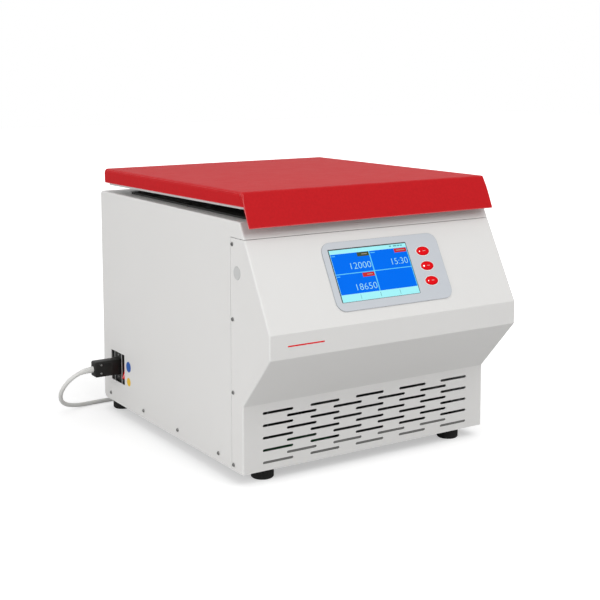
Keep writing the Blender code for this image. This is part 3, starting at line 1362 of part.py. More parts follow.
def power_supply():
    low = PAN_FLOOR_Z + SEAT_GAP
    case = box((SUPPLY_X - SUPPLY_WIDTH / 2, MODULES_Y - SUPPLY_DEPTH / 2, low),
               (SUPPLY_X + SUPPLY_WIDTH / 2, MODULES_Y + SUPPLY_DEPTH / 2, low + SUPPLY_HEIGHT))
    piece("power_supply", case, zinc())


def drive_inverter():
    low = PAN_FLOOR_Z + SEAT_GAP
    left = INVERTER_X - INVERTER_WIDTH / 2
    pitch = INVERTER_WIDTH / FINS
    shoulder = low + INVERTER_BASE
    top = low + INVERTER_HEIGHT
    outline = [(left, low), (left + INVERTER_WIDTH - pitch * (1 - FIN_SHARE), low)]
    for number in reversed(range(FINS)):
        near = left + number * pitch
        far = near + pitch * FIN_SHARE
        outline += [(far, shoulder)] if number < FINS - 1 else []
        outline += [(far, top), (near, top)]
        outline += [(near, shoulder)] if number else []
    sink = prism(outline, "Y", MODULES_Y - INVERTER_DEPTH / 2, MODULES_Y + INVERTER_DEPTH / 2)
    piece("drive_inverter", sink, aluminium())


def control_board():
    low = PAN_FLOOR_Z + SEAT_GAP
    under = low + BOARD_RISE
    half_x = BOARD_WIDTH / 2
    half_y = BOARD_LENGTH / 2
    board = box((BOARD_X - half_x, BOARD_Y - half_y, under),
                (BOARD_X + half_x, BOARD_Y + half_y, under + BOARD_SHEET))
    half = CHIP_SIZE / 2
    parts = [box((BOARD_X - half, BOARD_Y - half, under + BOARD_SHEET / 2),
                 (BOARD_X + half, BOARD_Y + half, under + BOARD_SHEET + CHIP_HEIGHT))]
    inset_by = 2 * STANDOFF_RADIUS
    for x_side in (-1, 1):
        for y_side in (-1, 1):
            spot = (BOARD_X + x_side * (half_x - inset_by), BOARD_Y + y_side * (half_y - inset_by))
            parts.append(rod(STANDOFF_RADIUS, low, under + BOARD_SHEET / 2, centre=spot, segments=10))
    piece("control_board", fuse(board, *parts), board_green())


def fan_spot():
    return (FAN_X, PAN_REAR_Y - FAN_DEPTH, FAN_Z)


def cooling_fan(axis):
    """The frame opens to the front and its struts are at the rear, by the panel."""
    half = FAN_SIZE / 2
    frame = prism(rectangle(-half, -half, half, half), "Y", 0, FAN_DEPTH)
    bore = rod(FAN_BORE_RADIUS, -OVERRUN, FAN_DEPTH + OVERRUN, "Y", segments=32)
    front = FAN_DEPTH - FAN_STRUT_DEPTH
    parts = [rod(FAN_HUB_RADIUS, front, FAN_DEPTH, "Y", segments=20)]
    for number in range(FAN_STRUTS):
        strut = box((0, front, -FAN_STRUT_WIDTH / 2),
                    (FAN_BORE_RADIUS + FAN_STRUT_ROOT, FAN_DEPTH, FAN_STRUT_WIDTH / 2))
        parts.append(placed(strut, Matrix.Rotation(2 * pi * number / FAN_STRUTS, 4, "Y")))
    seat = FAN_DEPTH - FAN_STRUT_DEPTH / 3
    socket = rod(FAN_PIN_RADIUS + RUN_GAP, front - OVERRUN, seat, "Y", segments=12)
    shell = cut(fuse(cut(frame, bore), *parts), socket)
    piece("cooling_fan", shell, black_plastic(), parent=axis)


def fan_impeller(axis):
    back = FAN_DEPTH - FAN_STRUT_DEPTH - RUN_GAP
    front = FAN_STRUT_DEPTH
    hub = rod(FAN_HUB_RADIUS, front, back, "Y", segments=20)
    pin = rod(FAN_PIN_RADIUS, back - OVERRUN, FAN_DEPTH - FAN_STRUT_DEPTH / 2, "Y", segments=12)
    middle = (front + back) / 2
    chord = (back - front) / cos(FAN_BLADE_PITCH) * FIN_SHARE
    blades = []
    for number in range(FAN_BLADES):
        blade = box((FAN_HUB_RADIUS - FAN_BLADE_SHEET, -chord, -FAN_BLADE_SHEET / 2),
                    (FAN_BLADE_REACH, chord, FAN_BLADE_SHEET / 2))
        lean = Matrix.Rotation(FAN_BLADE_PITCH, 4, "X")
        spin = Matrix.Rotation(2 * pi * number / FAN_BLADES, 4, "Y")
        blades.append(placed(blade, spin @ Matrix.Translation((0, middle, 0)) @ lean))
    piece("fan_impeller", fuse(hub, pin, *blades), black_plastic(), parent=axis)


def build():
    clear_objects()
    housing()
    front_panel()
    rear_panel()
    base_pan()
    feet()
    uprights()
    deck_liner()
    chamber_plate()
    plate_stands()
    centre = frame_at("chamber_centre", (0, CHAMBER_Y, 0))
    for make in (rotor_bowl, lid_seal, guard_ring, dampers, drive_motor, spindle_boot):
        make(centre)
    spin = frame_at("rotor_axis", (0, CHAMBER_Y, 0))
    for make in (spindle, rotor, rotor_nut):
        make(spin)
    lid = frame_at("lid_axis", (0, HINGE_Y, HINGE_Z), -LID_TILT)
    for make in (lid_cover, lid_tray, lid_armour, lid_striker, hinges):
        make(lid)
    latch_case()
    latch = frame_at("latch_axis", (0, LATCH_AXIS_Y, LATCH_AXIS_Z), LATCH_OPEN_ANGLE)
    latch_hook(latch)
    latch_motor()
    emergency_release(frame_at("release_axis", (0, RELEASE_Y, RELEASE_Z)))
    slope = frame_at("slope", (0, NOSE_Y, SLOPE_FOOT_Z), SLOPE_ANGLE)
    for make in (display, keys, key_board):
        make(slope)
    inlet_plate()
    mains_inlet()
    mains_switch()
    rocker = frame_at("rocker_axis", (INLET_FACE_X, switch_y(), ROCKER_Z))
    rocker.rotation_euler.y = ROCKER_TILT
    mains_rocker(rocker)
    mains_lead()
    power_supply()
    drive_inverter()
    control_board()
    fan = frame_at("fan_axis", fan_spot())
    cooling_fan(fan)
    fan_impeller(fan)
    bpy.context.view_layer.update()


build()
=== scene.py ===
from math import atan2, cos, pi, radians, sin

import bmesh
import bpy
from bpy.props import FloatProperty, FloatVectorProperty, IntProperty, PointerProperty
from mathutils import Matrix, Vector


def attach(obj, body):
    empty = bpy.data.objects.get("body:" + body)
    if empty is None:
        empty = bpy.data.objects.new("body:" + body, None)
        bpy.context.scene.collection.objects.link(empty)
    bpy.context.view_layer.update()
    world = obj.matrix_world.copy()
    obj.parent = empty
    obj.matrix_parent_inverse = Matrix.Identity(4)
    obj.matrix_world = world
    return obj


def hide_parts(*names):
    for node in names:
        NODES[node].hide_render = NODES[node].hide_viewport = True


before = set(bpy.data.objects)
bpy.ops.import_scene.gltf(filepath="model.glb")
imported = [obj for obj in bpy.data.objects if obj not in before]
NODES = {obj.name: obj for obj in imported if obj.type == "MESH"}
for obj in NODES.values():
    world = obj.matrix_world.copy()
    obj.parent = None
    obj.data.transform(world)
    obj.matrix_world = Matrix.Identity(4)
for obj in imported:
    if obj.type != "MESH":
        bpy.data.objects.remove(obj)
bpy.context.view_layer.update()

bl_info = {
    "name": "Bench-top centrifuge",
    "version": (1, 0, 0),
    "blender": (4, 5, 0),
    "location": "3D View > Sidebar > Centrifuge",
    "description": "Finishes and fine details for a bench-top centrifuge built on its packed model",
    "category": "Object",
}

# Places on the machine, in metres: X across, Y from front to back, Z up
HALF_WIDTH = 0.245
NOSE_Y = -0.3078
REAR_PANEL_Y = 0.3063
CHAMBER_Y = 0.015
NUT_Z = 0.3950
HINGE_Y, HINGE_Z = 0.301, 0.431
LID_TILT = radians(-0.8)
LID = Matrix.Translation((0, HINGE_Y, HINGE_Z)) @ Matrix.Rotation(LID_TILT, 4, "X")
LEVEL_LID = LID @ Matrix.Translation((0, -HINGE_Y, -HINGE_Z))
SLOPE_FOOT_Z, SLOPE_HEAD_Z = 0.2591, 0.4205
SLOPE_HEAD_Y = -0.2193
SLOPE_ANGLE = atan2(SLOPE_HEAD_Z - SLOPE_FOOT_Z, SLOPE_HEAD_Y - NOSE_Y)
SLOPE = Matrix.Translation((0, NOSE_Y, SLOPE_FOOT_Z)) @ Matrix.Rotation(SLOPE_ANGLE, 4, "X")

# Places on the slope: X across, Y up the slope, Z out of it
FASCIA_FACE = 0.0015
GLASS_FACE = 0.0012
SCREEN_LEFT, SCREEN_RIGHT = -0.1025, 0.0522
SCREEN_LOW, SCREEN_HIGH = 0.0354, 0.1247
SCREEN_WIDE, SCREEN_TALL = SCREEN_RIGHT - SCREEN_LEFT, SCREEN_HIGH - SCREEN_LOW
# Width of the dark bars along the screen window's top and left edges, narrower at right and bottom:
# a painted shadow of the window's recess
SCREEN_EDGE_SHADOW = 0.0017
KEY_X = 0.082
KEY_ROWS = {"lower": 0.054, "middle": 0.080, "upper": 0.106}
KEY_WIDE, KEY_TALL = 0.0258, 0.0152
KEY_GAP = 0.0008
KEY_TOP = 0.0024
# The key's dome, from its foot up: how far in from the outline, and at what height
KEY_DOME = ((0, -0.0033), (0, 0.0014), (0.0003, 0.0020), (0.0010, 0.00235), (0.003, 0.00245))
LAMP_OFFSET = -0.0072
LAMP_RADII = {"lower": 0.0009, "middle": 0.0014, "upper": 0.0009}

# Screws: where each row of them stands
SCREW_STAND = 0.0006
CHEEK_Y, CHEEK_SCREWS_Z = -0.197, (0.384, 0.265, 0.147, 0.029)
SIDE_FOOT_Z, SIDE_SCREWS_Y = 0.034, (0.278, 0.134, -0.0013, -0.147)
REAR_EDGE_X, REAR_EDGE_Z = 0.228, (0.036, 0.130, 0.225, 0.320, 0.405)
REAR_INNER_X, REAR_INNER_Z = 0.076, (0.036, 0.405)
DECK_TOP_Z = 0.4242
LINER_X, LINER_Y = 0.208, (-0.186, 0.014, 0.214)
TRAY_UNDERSIDE_Z, LEAF_UNDERSIDE_Z = 0.4326, 0.4303

# Mains inlet, connector and lead
INLET_Y, INLET_Z = 0.246, 0.0932
INLET_SCREWS_Z = (0.1139, 0.0725)
CONNECTOR_ROOT = -0.2426
CONNECTOR_END = -0.2946
CONNECTOR_HALF_TALL, CONNECTOR_HALF_DEEP = 0.0145, 0.010
CORD_RADIUS = 0.004
CORD_ROUTE = [
    (-0.3165, 0.2476, 0.0902), (-0.3343, 0.2542, 0.0792), (-0.3446, 0.2650, 0.0631),
    (-0.3469, 0.2782, 0.0457), (-0.3408, 0.2923, 0.0299), (-0.3283, 0.3054, 0.0175),
    (-0.3105, 0.3159, 0.0096), (-0.2901, 0.3231, 0.0055), (-0.2684, 0.3272, 0.0044),
    (-0.2463, 0.3290, 0.0043), (-0.2242, 0.3294, 0.0043), (-0.2021, 0.3291, 0.0043),
    (-0.1799, 0.3285, 0.0043), (-0.1578, 0.3279, 0.0043), (-0.1357, 0.3274, 0.0043),
    (-0.1136, 0.3272, 0.0043), (-0.0914, 0.3270, 0.0043),
]
ROUTE_STEPS = 6
COIL_CENTRE = (-0.060, 0.385)
COIL_RADIUS = 0.058
COIL_PITCH = 0.0087
COIL_TURNS = 3
COIL_STEPS = 40
COIL_FLOOR = 0.0043
COIL_LEAD = 0.009
PLUG_LIFT = 0.0188
RELIEF_RINGS = 28
RELIEF_SIDES = 24
RELIEF_RIB = 0.0004

# Camera, lamps and floor
CAMERA_SPOT = (-1.1540, -1.8062, 0.6731)
CAMERA_DIP, CAMERA_TURN = 7.570, -32.718
CAMERA_SHIFT = -0.14
LAMP_TARGET = (0, 0, 0.2)
FLOOR_REACH, FLOOR_DEPTH, FLOOR_TOP = 9, 0.05, -0.0001
FLOOR_TONE = (0.68, 0.68, 0.68)


# Sizes and colours that a user may change

def colour(title, text, value):
    return FloatVectorProperty(name=title, description=text, default=value, subtype="COLOR",
                               min=0, max=1)


def amount(title, text, value, **more):
    return FloatProperty(name=title, description=text, default=value, min=0, **more)


def length(title, text, value):
    return amount(title, text, value, unit="LENGTH", precision=5)


class CentrifugeColours(bpy.types.PropertyGroup):
    """Colours of the machine's finishes."""
    casing: colour("Casing", "Off-white powder coat of the casing", (0.745, 0.738, 0.725))
    lid: colour("Lid", "Red powder coat of the lid", (0.535, 0.010, 0.014))
    tray: colour("Tray", "Light grey paint under the lid", (0.560, 0.565, 0.560))
    fascia: colour("Fascia", "Printed film round the screen", (0.535, 0.565, 0.605))
    key: colour("Keys", "Red keys and mains switch", (0.700, 0.000, 0.004))
    mark: colour("Marks", "White marks on the keys", (0.900, 0.900, 0.880))
    screen: colour("Screen", "Fields of the screen", (0.000, 0.104, 0.585))
    strip: colour("Screen strips", "Pale strips above and below the fields", (0.249, 0.589, 0.617))
    divider: colour("Screen lines", "Lines between the fields", (0.080, 0.400, 0.580))
    digit: colour("Digits", "Digits on the screen", (0.240, 0.520, 0.560))
    label: colour("Labels", "Thin bars in place of words on the screen", (0.300, 0.250, 0.210))
    olive: colour("Olive badge", "Set-value badge of the first field", (0.050, 0.066, 0.022))
    badge: colour("Red badge", "Set-value badges of the other fields", (0.460, 0.022, 0.020))
    plastic: colour("Plastic", "Black moulded parts", (0.012, 0.012, 0.011))
    rubber: colour("Rubber", "Feet, seal and dampers", (0.010, 0.010, 0.010))
    cord: colour("Cord", "Sheath of the mains lead", (0.700, 0.700, 0.680))
    steel: colour("Steel", "Bare steel parts", (0.560, 0.555, 0.545))
    zinc: colour("Zinc", "Plated sheet and screws", (0.600, 0.610, 0.620))
    alloy: colour("Alloy", "Turned rotor and heat sink", (0.700, 0.705, 0.720))
    board: colour("Board", "Circuit boards", (0.015, 0.150, 0.050))
    blue_sticker: colour("Blue sticker", "Plain round sticker by the inlet", (0.035, 0.125, 0.440))
    yellow_sticker: colour("Yellow sticker", "Plain sticker under it", (0.830, 0.510, 0.010))


class CentrifugeSizes(bpy.types.PropertyGroup):
    """Sizes of the fine details."""
    screw_radius: length("Screw radius", "Radius of the casing's screw heads", 0.0034)
    screw_height: length("Screw height", "How far a casing screw's head stands out", 0.0014)
    small_screw_radius: length("Small screw radius", "Radius of the small screw heads", 0.0021)
    small_screw_height: length("Small screw height", "How far a small head stands out", 0.0008)
    key_ring: length("Key ring", "Width of the pale ring round each key", 0.0009)
    sticker_radius: length("Sticker radius", "Radius of the blue sticker", 0.010)
    relief_length: length("Strain relief", "Length of the sleeve round the lead's start", 0.026)
    relief_root: length("Relief root", "Radius of that sleeve at the connector", 0.0059)
    grip_ribs: IntProperty(name="Grip ribs", description="Ribs round the rotor nut", default=24,
                           min=6, max=60)


class CentrifugeStudio(bpy.types.PropertyGroup):
    """Camera and light."""
    lens: amount("Lens", "Focal length", 72.25, unit="CAMERA")
    sky: amount("Sky", "Strength of the light from straight above", 0.77)
    skyline: amount("Skyline", "Strength of the light from the horizon", 0.22)
    key_power: amount("Key light", "Power of the big lamp above the front", 43)
    side_power: amount("Side light", "Power of the lamp on the left", 28)


def colours():
    return bpy.context.scene.centrifuge_colours


def sizes():
    return bpy.context.scene.centrifuge_sizes


def studio():
    return bpy.context.scene.centrifuge_studio


# Node helpers

def join(tree, value, socket):
    if isinstance(value, bpy.types.NodeSocket):
        tree.links.new(value, socket)
    elif socket.type == "RGBA" and len(value) == 3:
        socket.default_value = (*value, 1)
    else:
        socket.default_value = value


def add(tree, kind, settings=None, **values):
    made = tree.nodes.new(kind)
    for key, value in (settings or {}).items():
        setattr(made, key, value)
    for key, value in values.items():
        join(tree, value, made.inputs[key.replace("_", " ")])
    return made


def calc(tree, operation, *values, clamp=False):
    made = add(tree, "ShaderNodeMath", {"operation": operation, "use_clamp": clamp})
    for value, socket in zip(values, made.inputs):
        join(tree, value, socket)
    return made.outputs[0]


def vector_calc(tree, operation, *values):
    made = add(tree, "ShaderNodeVectorMath", {"operation": operation})
    for value, socket in zip(values, made.inputs):
        join(tree, value, socket)
    return made.outputs["Value" if operation in ("DOT_PRODUCT", "LENGTH") else "Vector"]


def scaled(tree, vector, factor):
    made = add(tree, "ShaderNodeVectorMath", {"operation": "SCALE"}, Vector=vector, Scale=factor)
    return made.outputs["Vector"]


def mixed(tree, share, first, second):
    made = add(tree, "ShaderNodeMix", {"data_type": "RGBA"})
    for value, place in ((share, 0), (first, 6), (second, 7)):
        join(tree, value, made.inputs[place])
    return made.outputs[2]


def noise(tree, vector, scale, detail=2.0, dimensions="3D"):
    made = add(tree, "ShaderNodeTexNoise", {"noise_dimensions": dimensions},
               Scale=scale, Detail=detail)
    join(tree, vector, made.inputs["W" if dimensions == "1D" else "Vector"])
    return made.outputs["Fac"]


def about(tree, value, spread):
    """A noise value turned into a factor that varies round one."""
    centred = calc(tree, "SUBTRACT", value, 0.5)
    return calc(tree, "MULTIPLY_ADD", centred, calc(tree, "MULTIPLY", spread, 2.0), 1.0)


def object_spot(tree):
    return add(tree, "ShaderNodeTexCoord").outputs["Object"]


def open_tree(name, kind, inputs, outputs):
    """A new node group with named sockets, and the inner ends of those sockets."""
    tree = bpy.data.node_groups.new(name, kind)
    for side, sockets in (("INPUT", inputs), ("OUTPUT", outputs)):
        for title, (data, value) in sockets.items():
            socket = tree.interface.new_socket(name=title, in_out=side,
                                               socket_type="NodeSocket" + data)
            if value is not None:
                socket.default_value = value
    entry, leaving = tree.nodes.new("NodeGroupInput"), tree.nodes.new("NodeGroupOutput")
    return tree, entry.outputs, leaving.inputs


# Shader node groups that several finishes share. Scales are in waves per metre.

# Patches along the edges, for the painted edge highlight and shade and for wear
EDGE_LIGHT_AND_WEAR_SCALE, EDGE_LIGHT_AND_WEAR_REACH = 160.0, 8.0
SMUDGE_SCALE = 42.0
SHEET_CLOUDS, LATHE_CLOUDS = 30.0, 35.0
LATHE_CLOUDING = 0.03


def open_finish(name, inputs):
    return open_tree(name, "ShaderNodeTree", inputs, {
        "Colour": ("Color", None), "Roughness": ("Float", None), "Height": ("Float", None)})


def close_finish(tree, wanted, tint, rough, height):
    join(tree, tint, wanted["Colour"])
    join(tree, rough, wanted["Roughness"])
    join(tree, height, wanted["Height"])


def close_metal(tree, given, wanted, marks, clouds, clouding):
    """A bare metal's colour and gloss, both varied by its tool marks."""
    shade = calc(tree, "MULTIPLY", about(tree, marks, given["Streak"]),
                 about(tree, clouds, clouding))
    rough = calc(tree, "MULTIPLY", given["Roughness"], about(tree, marks, given["Spread"]))
    close_finish(tree, wanted, scaled(tree, given["Colour"], shade), rough, marks)


def group_coated():
    """Paint or moulded plastic: clouding, fine grain, and edges in another colour, partly worn and
    partly painted light: a paler edge colour paints a highlight, a darker one paints shade.
    """
    tree, given, wanted = open_finish("Coated skin", {
        "Colour": ("Color", (0.5, 0.5, 0.5, 1)), "Edge Colour": ("Color", (0.8, 0.8, 0.8, 1)),
        "Clouding": ("Float", 0.02), "Cloud Scale": ("Float", 9.0),
        "Grain Scale": ("Float", 1400.0), "Roughness": ("Float", 0.4),
        "Spread": ("Float", 0.08), "Edge Wear": ("Float", 0.3),
        "Edge Width": ("Float", 0.0015)})
    spot = object_spot(tree)
    clouds = noise(tree, spot, given["Cloud Scale"], 4.0)
    grain = noise(tree, spot, given["Grain Scale"], 3.0)
    edge_light_and_wear_noise = noise(tree, spot, EDGE_LIGHT_AND_WEAR_SCALE, 3.0)
    smudges = noise(tree, spot, SMUDGE_SCALE, 5.0)
    plain = scaled(tree, given["Colour"], about(tree, clouds, given["Clouding"]))
    # Edge mask from the bevelled normal: where the edge colour is paler it paints a highlight,
    # where darker it paints shade; the patch noise breaks it into worn spots
    rounded_off = add(tree, "ShaderNodeBevel", {"samples": 4}, Radius=given["Edge Width"])
    as_built = add(tree, "ShaderNodeNewGeometry")
    match = vector_calc(tree, "DOT_PRODUCT", rounded_off.outputs["Normal"],
                        as_built.outputs["Normal"])
    turn = calc(tree, "SUBTRACT", 1.0, match)
    patches = calc(tree, "MULTIPLY_ADD", edge_light_and_wear_noise, EDGE_LIGHT_AND_WEAR_REACH, 1.0)
    turn = calc(tree, "MULTIPLY", turn, patches, clamp=True)
    edge = calc(tree, "MULTIPLY", turn, given["Edge Wear"], clamp=True)
    rough = calc(tree, "MULTIPLY", given["Roughness"], about(tree, smudges, given["Spread"]))
    close_finish(tree, wanted, mixed(tree, edge, plain, given["Edge Colour"]), rough, grain)


def group_brushed():
    """Sheet or drawn metal: streaks along one direction, with clouding."""
    tree, given, wanted = open_finish("Brushed metal", {
        "Colour": ("Color", (0.6, 0.6, 0.6, 1)), "Stretch": ("Vector", (60.0, 900.0, 900.0)),
        "Streak": ("Float", 0.12), "Clouding": ("Float", 0.06),
        "Roughness": ("Float", 0.35), "Spread": ("Float", 0.25)})
    spot = object_spot(tree)
    streak = noise(tree, vector_calc(tree, "MULTIPLY", spot, given["Stretch"]), 1.0, 3.0)
    clouds = noise(tree, spot, SHEET_CLOUDS, 5.0)
    close_metal(tree, given, wanted, streak, clouds, given["Clouding"])


def group_turned():
    """Metal turned on a lathe: fine rings round an upright axis."""
    tree, given, wanted = open_finish("Turned metal", {
        "Colour": ("Color", (0.7, 0.7, 0.7, 1)), "Centre": ("Vector", (0.0, CHAMBER_Y, 0.0)),
        "Ring Scale": ("Float", 2200.0), "Streak": ("Float", 0.08),
        "Roughness": ("Float", 0.28), "Spread": ("Float", 0.25)})
    spot = object_spot(tree)
    offset = vector_calc(tree, "SUBTRACT", spot, given["Centre"])
    reach = vector_calc(tree, "LENGTH", vector_calc(tree, "MULTIPLY", offset, (1.0, 1.0, 0.0)))
    height = add(tree, "ShaderNodeSeparateXYZ", Vector=spot).outputs["Z"]
    ring = noise(tree, calc(tree, "ADD", reach, height), given["Ring Scale"], 2.0, "1D")
    clouds = noise(tree, spot, LATHE_CLOUDS, 4.0)
    close_metal(tree, given, wanted, ring, clouds, LATHE_CLOUDING)


def finish_of(name, group, values, bump=0.0, glow=0.0, shader=None):
    """A material whose pattern comes from a shared group.

    What is the same all over the surface is set on the shader's own sockets."""
    if name in bpy.data.materials:
        raise RuntimeError("a material named " + name + " is there already")
    material = bpy.data.materials.new(name)
    material.use_nodes = True
    tree = material.node_tree
    surface = tree.nodes["Principled BSDF"]
    pattern = add(tree, "ShaderNodeGroup", {"node_tree": bpy.data.node_groups[group]})
    for node, settings in ((pattern, values), (surface, shader or {})):
        for title, value in settings.items():
            join(tree, value, node.inputs[title.replace("_", " ")])
    tree.links.new(pattern.outputs["Colour"], surface.inputs["Base Color"])
    tree.links.new(pattern.outputs["Roughness"], surface.inputs["Roughness"])
    if bump:
        dent = add(tree, "ShaderNodeBump", Height=pattern.outputs["Height"], Strength=1.0,
                   Distance=bump)
        tree.links.new(dent.outputs["Normal"], surface.inputs["Normal"])
    if glow:
        tree.links.new(pattern.outputs["Colour"], surface.inputs["Emission Color"])
        surface.inputs["Emission Strength"].default_value = glow


def make_finishes():
    """Every finish; what a row leaves out keeps the default of its group."""
    group_coated()
    group_brushed()
    group_turned()
    tone = colours()

    def coated(name, base, edge, bump=0.0, glow=0.0, shader=None, **values):
        finish_of(name, "Coated skin", {"Colour": base, "Edge_Colour": edge, **values}, bump,
                  glow, shader)

    # Paler edge colour: painted highlight along the casing's edges, with some wear
    coated("casing_paint", tone.casing, (0.86, 0.855, 0.85), bump=0.00004, Clouding=0.012,
           Grain_Scale=1100.0, Roughness=0.46, Edge_Wear=0.65, Edge_Width=0.0030,
           shader={"Specular_IOR_Level": 0.3})
    # Pale pink edge colour: painted highlight along the lid's edges and the flap's cut edge
    coated("lid_paint", tone.lid, (0.80, 0.28, 0.28), bump=0.00009, Clouding=0.12,
           Cloud_Scale=260.0, Grain_Scale=600.0, Roughness=0.54, Edge_Wear=0.8,
           Edge_Width=0.0022, shader={"IOR": 1.16})
    coated("tray_paint", tone.tray, (0.75, 0.75, 0.75), bump=0.00004, Grain_Scale=1100.0,
           Edge_Wear=0.4)
    # Dark edge colour: a painted shadow line round the fascia's edge
    coated("fascia_film", tone.fascia, (0.30, 0.32, 0.35), bump=0.00001, Clouding=0.012,
           Grain_Scale=2600.0, Roughness=0.36, Edge_Wear=0.85, Edge_Width=0.0016)
    # The keys, the mains rocker and the nose stripe glow a little, though they are no lamps:
    # painted light
    coated("key_red", tone.key, (0.85, 0.10, 0.09), bump=0.00002, glow=0.10, Clouding=0.03,
           Grain_Scale=2000.0, Roughness=0.36, Edge_Wear=0.2, shader={"IOR": 1.16})
    coated("key_mark", tone.mark, (0.95, 0.95, 0.93), Clouding=0.03, Roughness=0.5,
           Edge_Wear=0.1)
    coated("key_word", (0.72, 0.36, 0.34), (0.80, 0.45, 0.42), Clouding=0.03, Roughness=0.5,
           Edge_Wear=0.1)
    coated("lamp_white", tone.mark, (1.0, 1.0, 1.0), glow=0.8, Roughness=0.3, Edge_Wear=0.1)
    coated("moulded_black", tone.plastic, (0.060, 0.060, 0.058), bump=0.00006, Clouding=0.12,
           Grain_Scale=1700.0, Roughness=0.48, Edge_Wear=0.5, Edge_Width=0.0012,
           shader={"IOR": 1.32})
    coated("rubber_black", tone.rubber, (0.035, 0.035, 0.035), bump=0.00008, Clouding=0.2,
           Grain_Scale=1200.0, Roughness=0.72, Edge_Wear=0.4, shader={"IOR": 1.32})
    coated("cord_sheath", tone.cord, (0.78, 0.78, 0.76), bump=0.00003, Clouding=0.03,
           Grain_Scale=900.0, Roughness=0.5, Edge_Wear=0.0)
    coated("board_green", tone.board, (0.05, 0.28, 0.10), bump=0.00002, Clouding=0.2,
           Cloud_Scale=120.0)
    coated("blue_sticker", tone.blue_sticker, (0.20, 0.30, 0.55), Clouding=0.06,
           Cloud_Scale=60.0)
    coated("yellow_sticker", tone.yellow_sticker, (0.90, 0.70, 0.25), Clouding=0.05,
           Cloud_Scale=60.0)
    coated("plate_silver", (0.60, 0.60, 0.61), (0.75, 0.75, 0.75), Clouding=0.05,
           Cloud_Scale=40.0, Roughness=0.35, shader={"Metallic": 0.6})
    for name, base, glow in (
            ("screen_field", tone.screen, 0.55), ("screen_strip", tone.strip, 0.55),
            ("screen_divider", tone.divider, 0.6), ("screen_digit", tone.digit, 0.6),
            ("screen_olive", tone.olive, 0.3), ("screen_badge", tone.badge, 0.35),
            ("screen_grey", (0.10, 0.30, 0.34), 0.3), ("screen_label", tone.label, 0.3)):
        coated(name, base, base, glow=glow, Clouding=0.03, Cloud_Scale=26.0, Roughness=0.3,
               Edge_Wear=0.0, shader={"IOR": 1.08})

    def brushed(name, base, stretch, **values):
        finish_of(name, "Brushed metal", {"Colour": base, "Stretch": stretch, **values},
                  bump=0.00002, shader={"Metallic": 1.0})

    def lathed(name, base, **values):
        finish_of(name, "Turned metal", {"Colour": base, **values}, bump=0.00001,
                  shader={"Metallic": 1.0})

    rolled = (45.0, 45.0, 60.0)
    brushed("plated_zinc", tone.zinc, rolled, Streak=0.10, Clouding=0.12, Roughness=0.38)
    # The base pan's zinc, much darker than the plated zinc: partly duller galvanised sheet, partly
    # painted shade for the pan seen through the grille
    brushed("pan_zinc_shaded", (0.20, 0.20, 0.195), rolled, Streak=0.10, Clouding=0.15, Roughness=0.5)
    # The screws' zinc, darker than the plated zinc: painted shade standing in for the dark recesses
    # of the small heads
    brushed("screw_zinc_shaded", (0.26, 0.26, 0.255), (500.0, 500.0, 500.0), Roughness=0.32)
    brushed("steel_across", tone.steel, (30.0, 900.0, 900.0), Roughness=0.3)
    lathed("steel_turned", tone.steel, Roughness=0.26)
    lathed("alloy_turned", tone.alloy, Roughness=0.30, Streak=0.06)


def finish(name):
    return bpy.data.materials[name]


def dress(name, *nodes):
    for node in nodes:
        for slot in NODES[node].material_slots:
            slot.material = finish(name)


# Shape helpers

BEVELLED_OVER, SHARP_OVER = radians(35), radians(40)


def new_object(name, data):
    item = bpy.data.objects.new(name, data)
    bpy.context.scene.collection.objects.link(item)
    return item


def belonging(item, body):
    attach(item, body)
    return item


def mesh_of(work):
    bmesh.ops.recalc_face_normals(work, faces=work.faces)
    mesh = bpy.data.meshes.new("shape")
    work.to_mesh(mesh)
    work.free()
    return mesh


def along(axis, height, point):
    u, v = point
    return {"X": (height, u, v), "Y": (u, height, v), "Z": (u, v, height)}[axis]


def prism(outline, axis, low, high, bevel=0.0, segments=2):
    """A closed outline pushed along one axis, its sharp edges rounded if a bevel is given."""
    work = bmesh.new()
    face = work.faces.new([work.verts.new(along(axis, low, point)) for point in outline])
    pushed = bmesh.ops.extrude_face_region(work, geom=[face])
    shifted = [item for item in pushed["geom"] if isinstance(item, bmesh.types.BMVert)]
    bmesh.ops.translate(work, verts=shifted, vec=along(axis, high - low, (0, 0)))
    bmesh.ops.recalc_face_normals(work, faces=work.faces)
    if bevel:
        sharp = [edge for edge in work.edges if edge.calc_face_angle(0) > BEVELLED_OVER]
        bmesh.ops.bevel(work, geom=sharp, offset=bevel, segments=segments, profile=0.5,
                        affect="EDGES")
    return mesh_of(work)


def rectangle(left, low, right, high):
    return [(left, low), (right, low), (right, high), (left, high)]


def centred(x, y, half_wide, half_tall):
    return rectangle(x - half_wide, y - half_tall, x + half_wide, y + half_tall)


def oval(centre, width, height, steps=48):
    turns = [2 * pi * step / steps for step in range(steps)]
    return [(centre[0] + width / 2 * cos(turn), centre[1] + height / 2 * sin(turn))
            for turn in turns]


def rounded(left, low, right, high, bend, steps=4, foot=None):
    """A rectangle with rounded corners, the lower two flat if the foot is 0."""
    foot = bend if foot is None else foot
    corners = []
    for x, y, start in ((right - bend, high - bend, 0), (left + bend, high - bend, 1),
                        (left + bend, low + foot, 2), (right - bend, low + foot, 3)):
        for step in range(steps + 1):
            turn = (start + step / steps) * pi / 2
            rise = (bend if start < 2 else foot) * sin(turn)
            corners.append((x + bend * cos(turn), y + rise))
    return corners


def at_height(outline, height):
    return [(x, y, height) for x, y in outline]


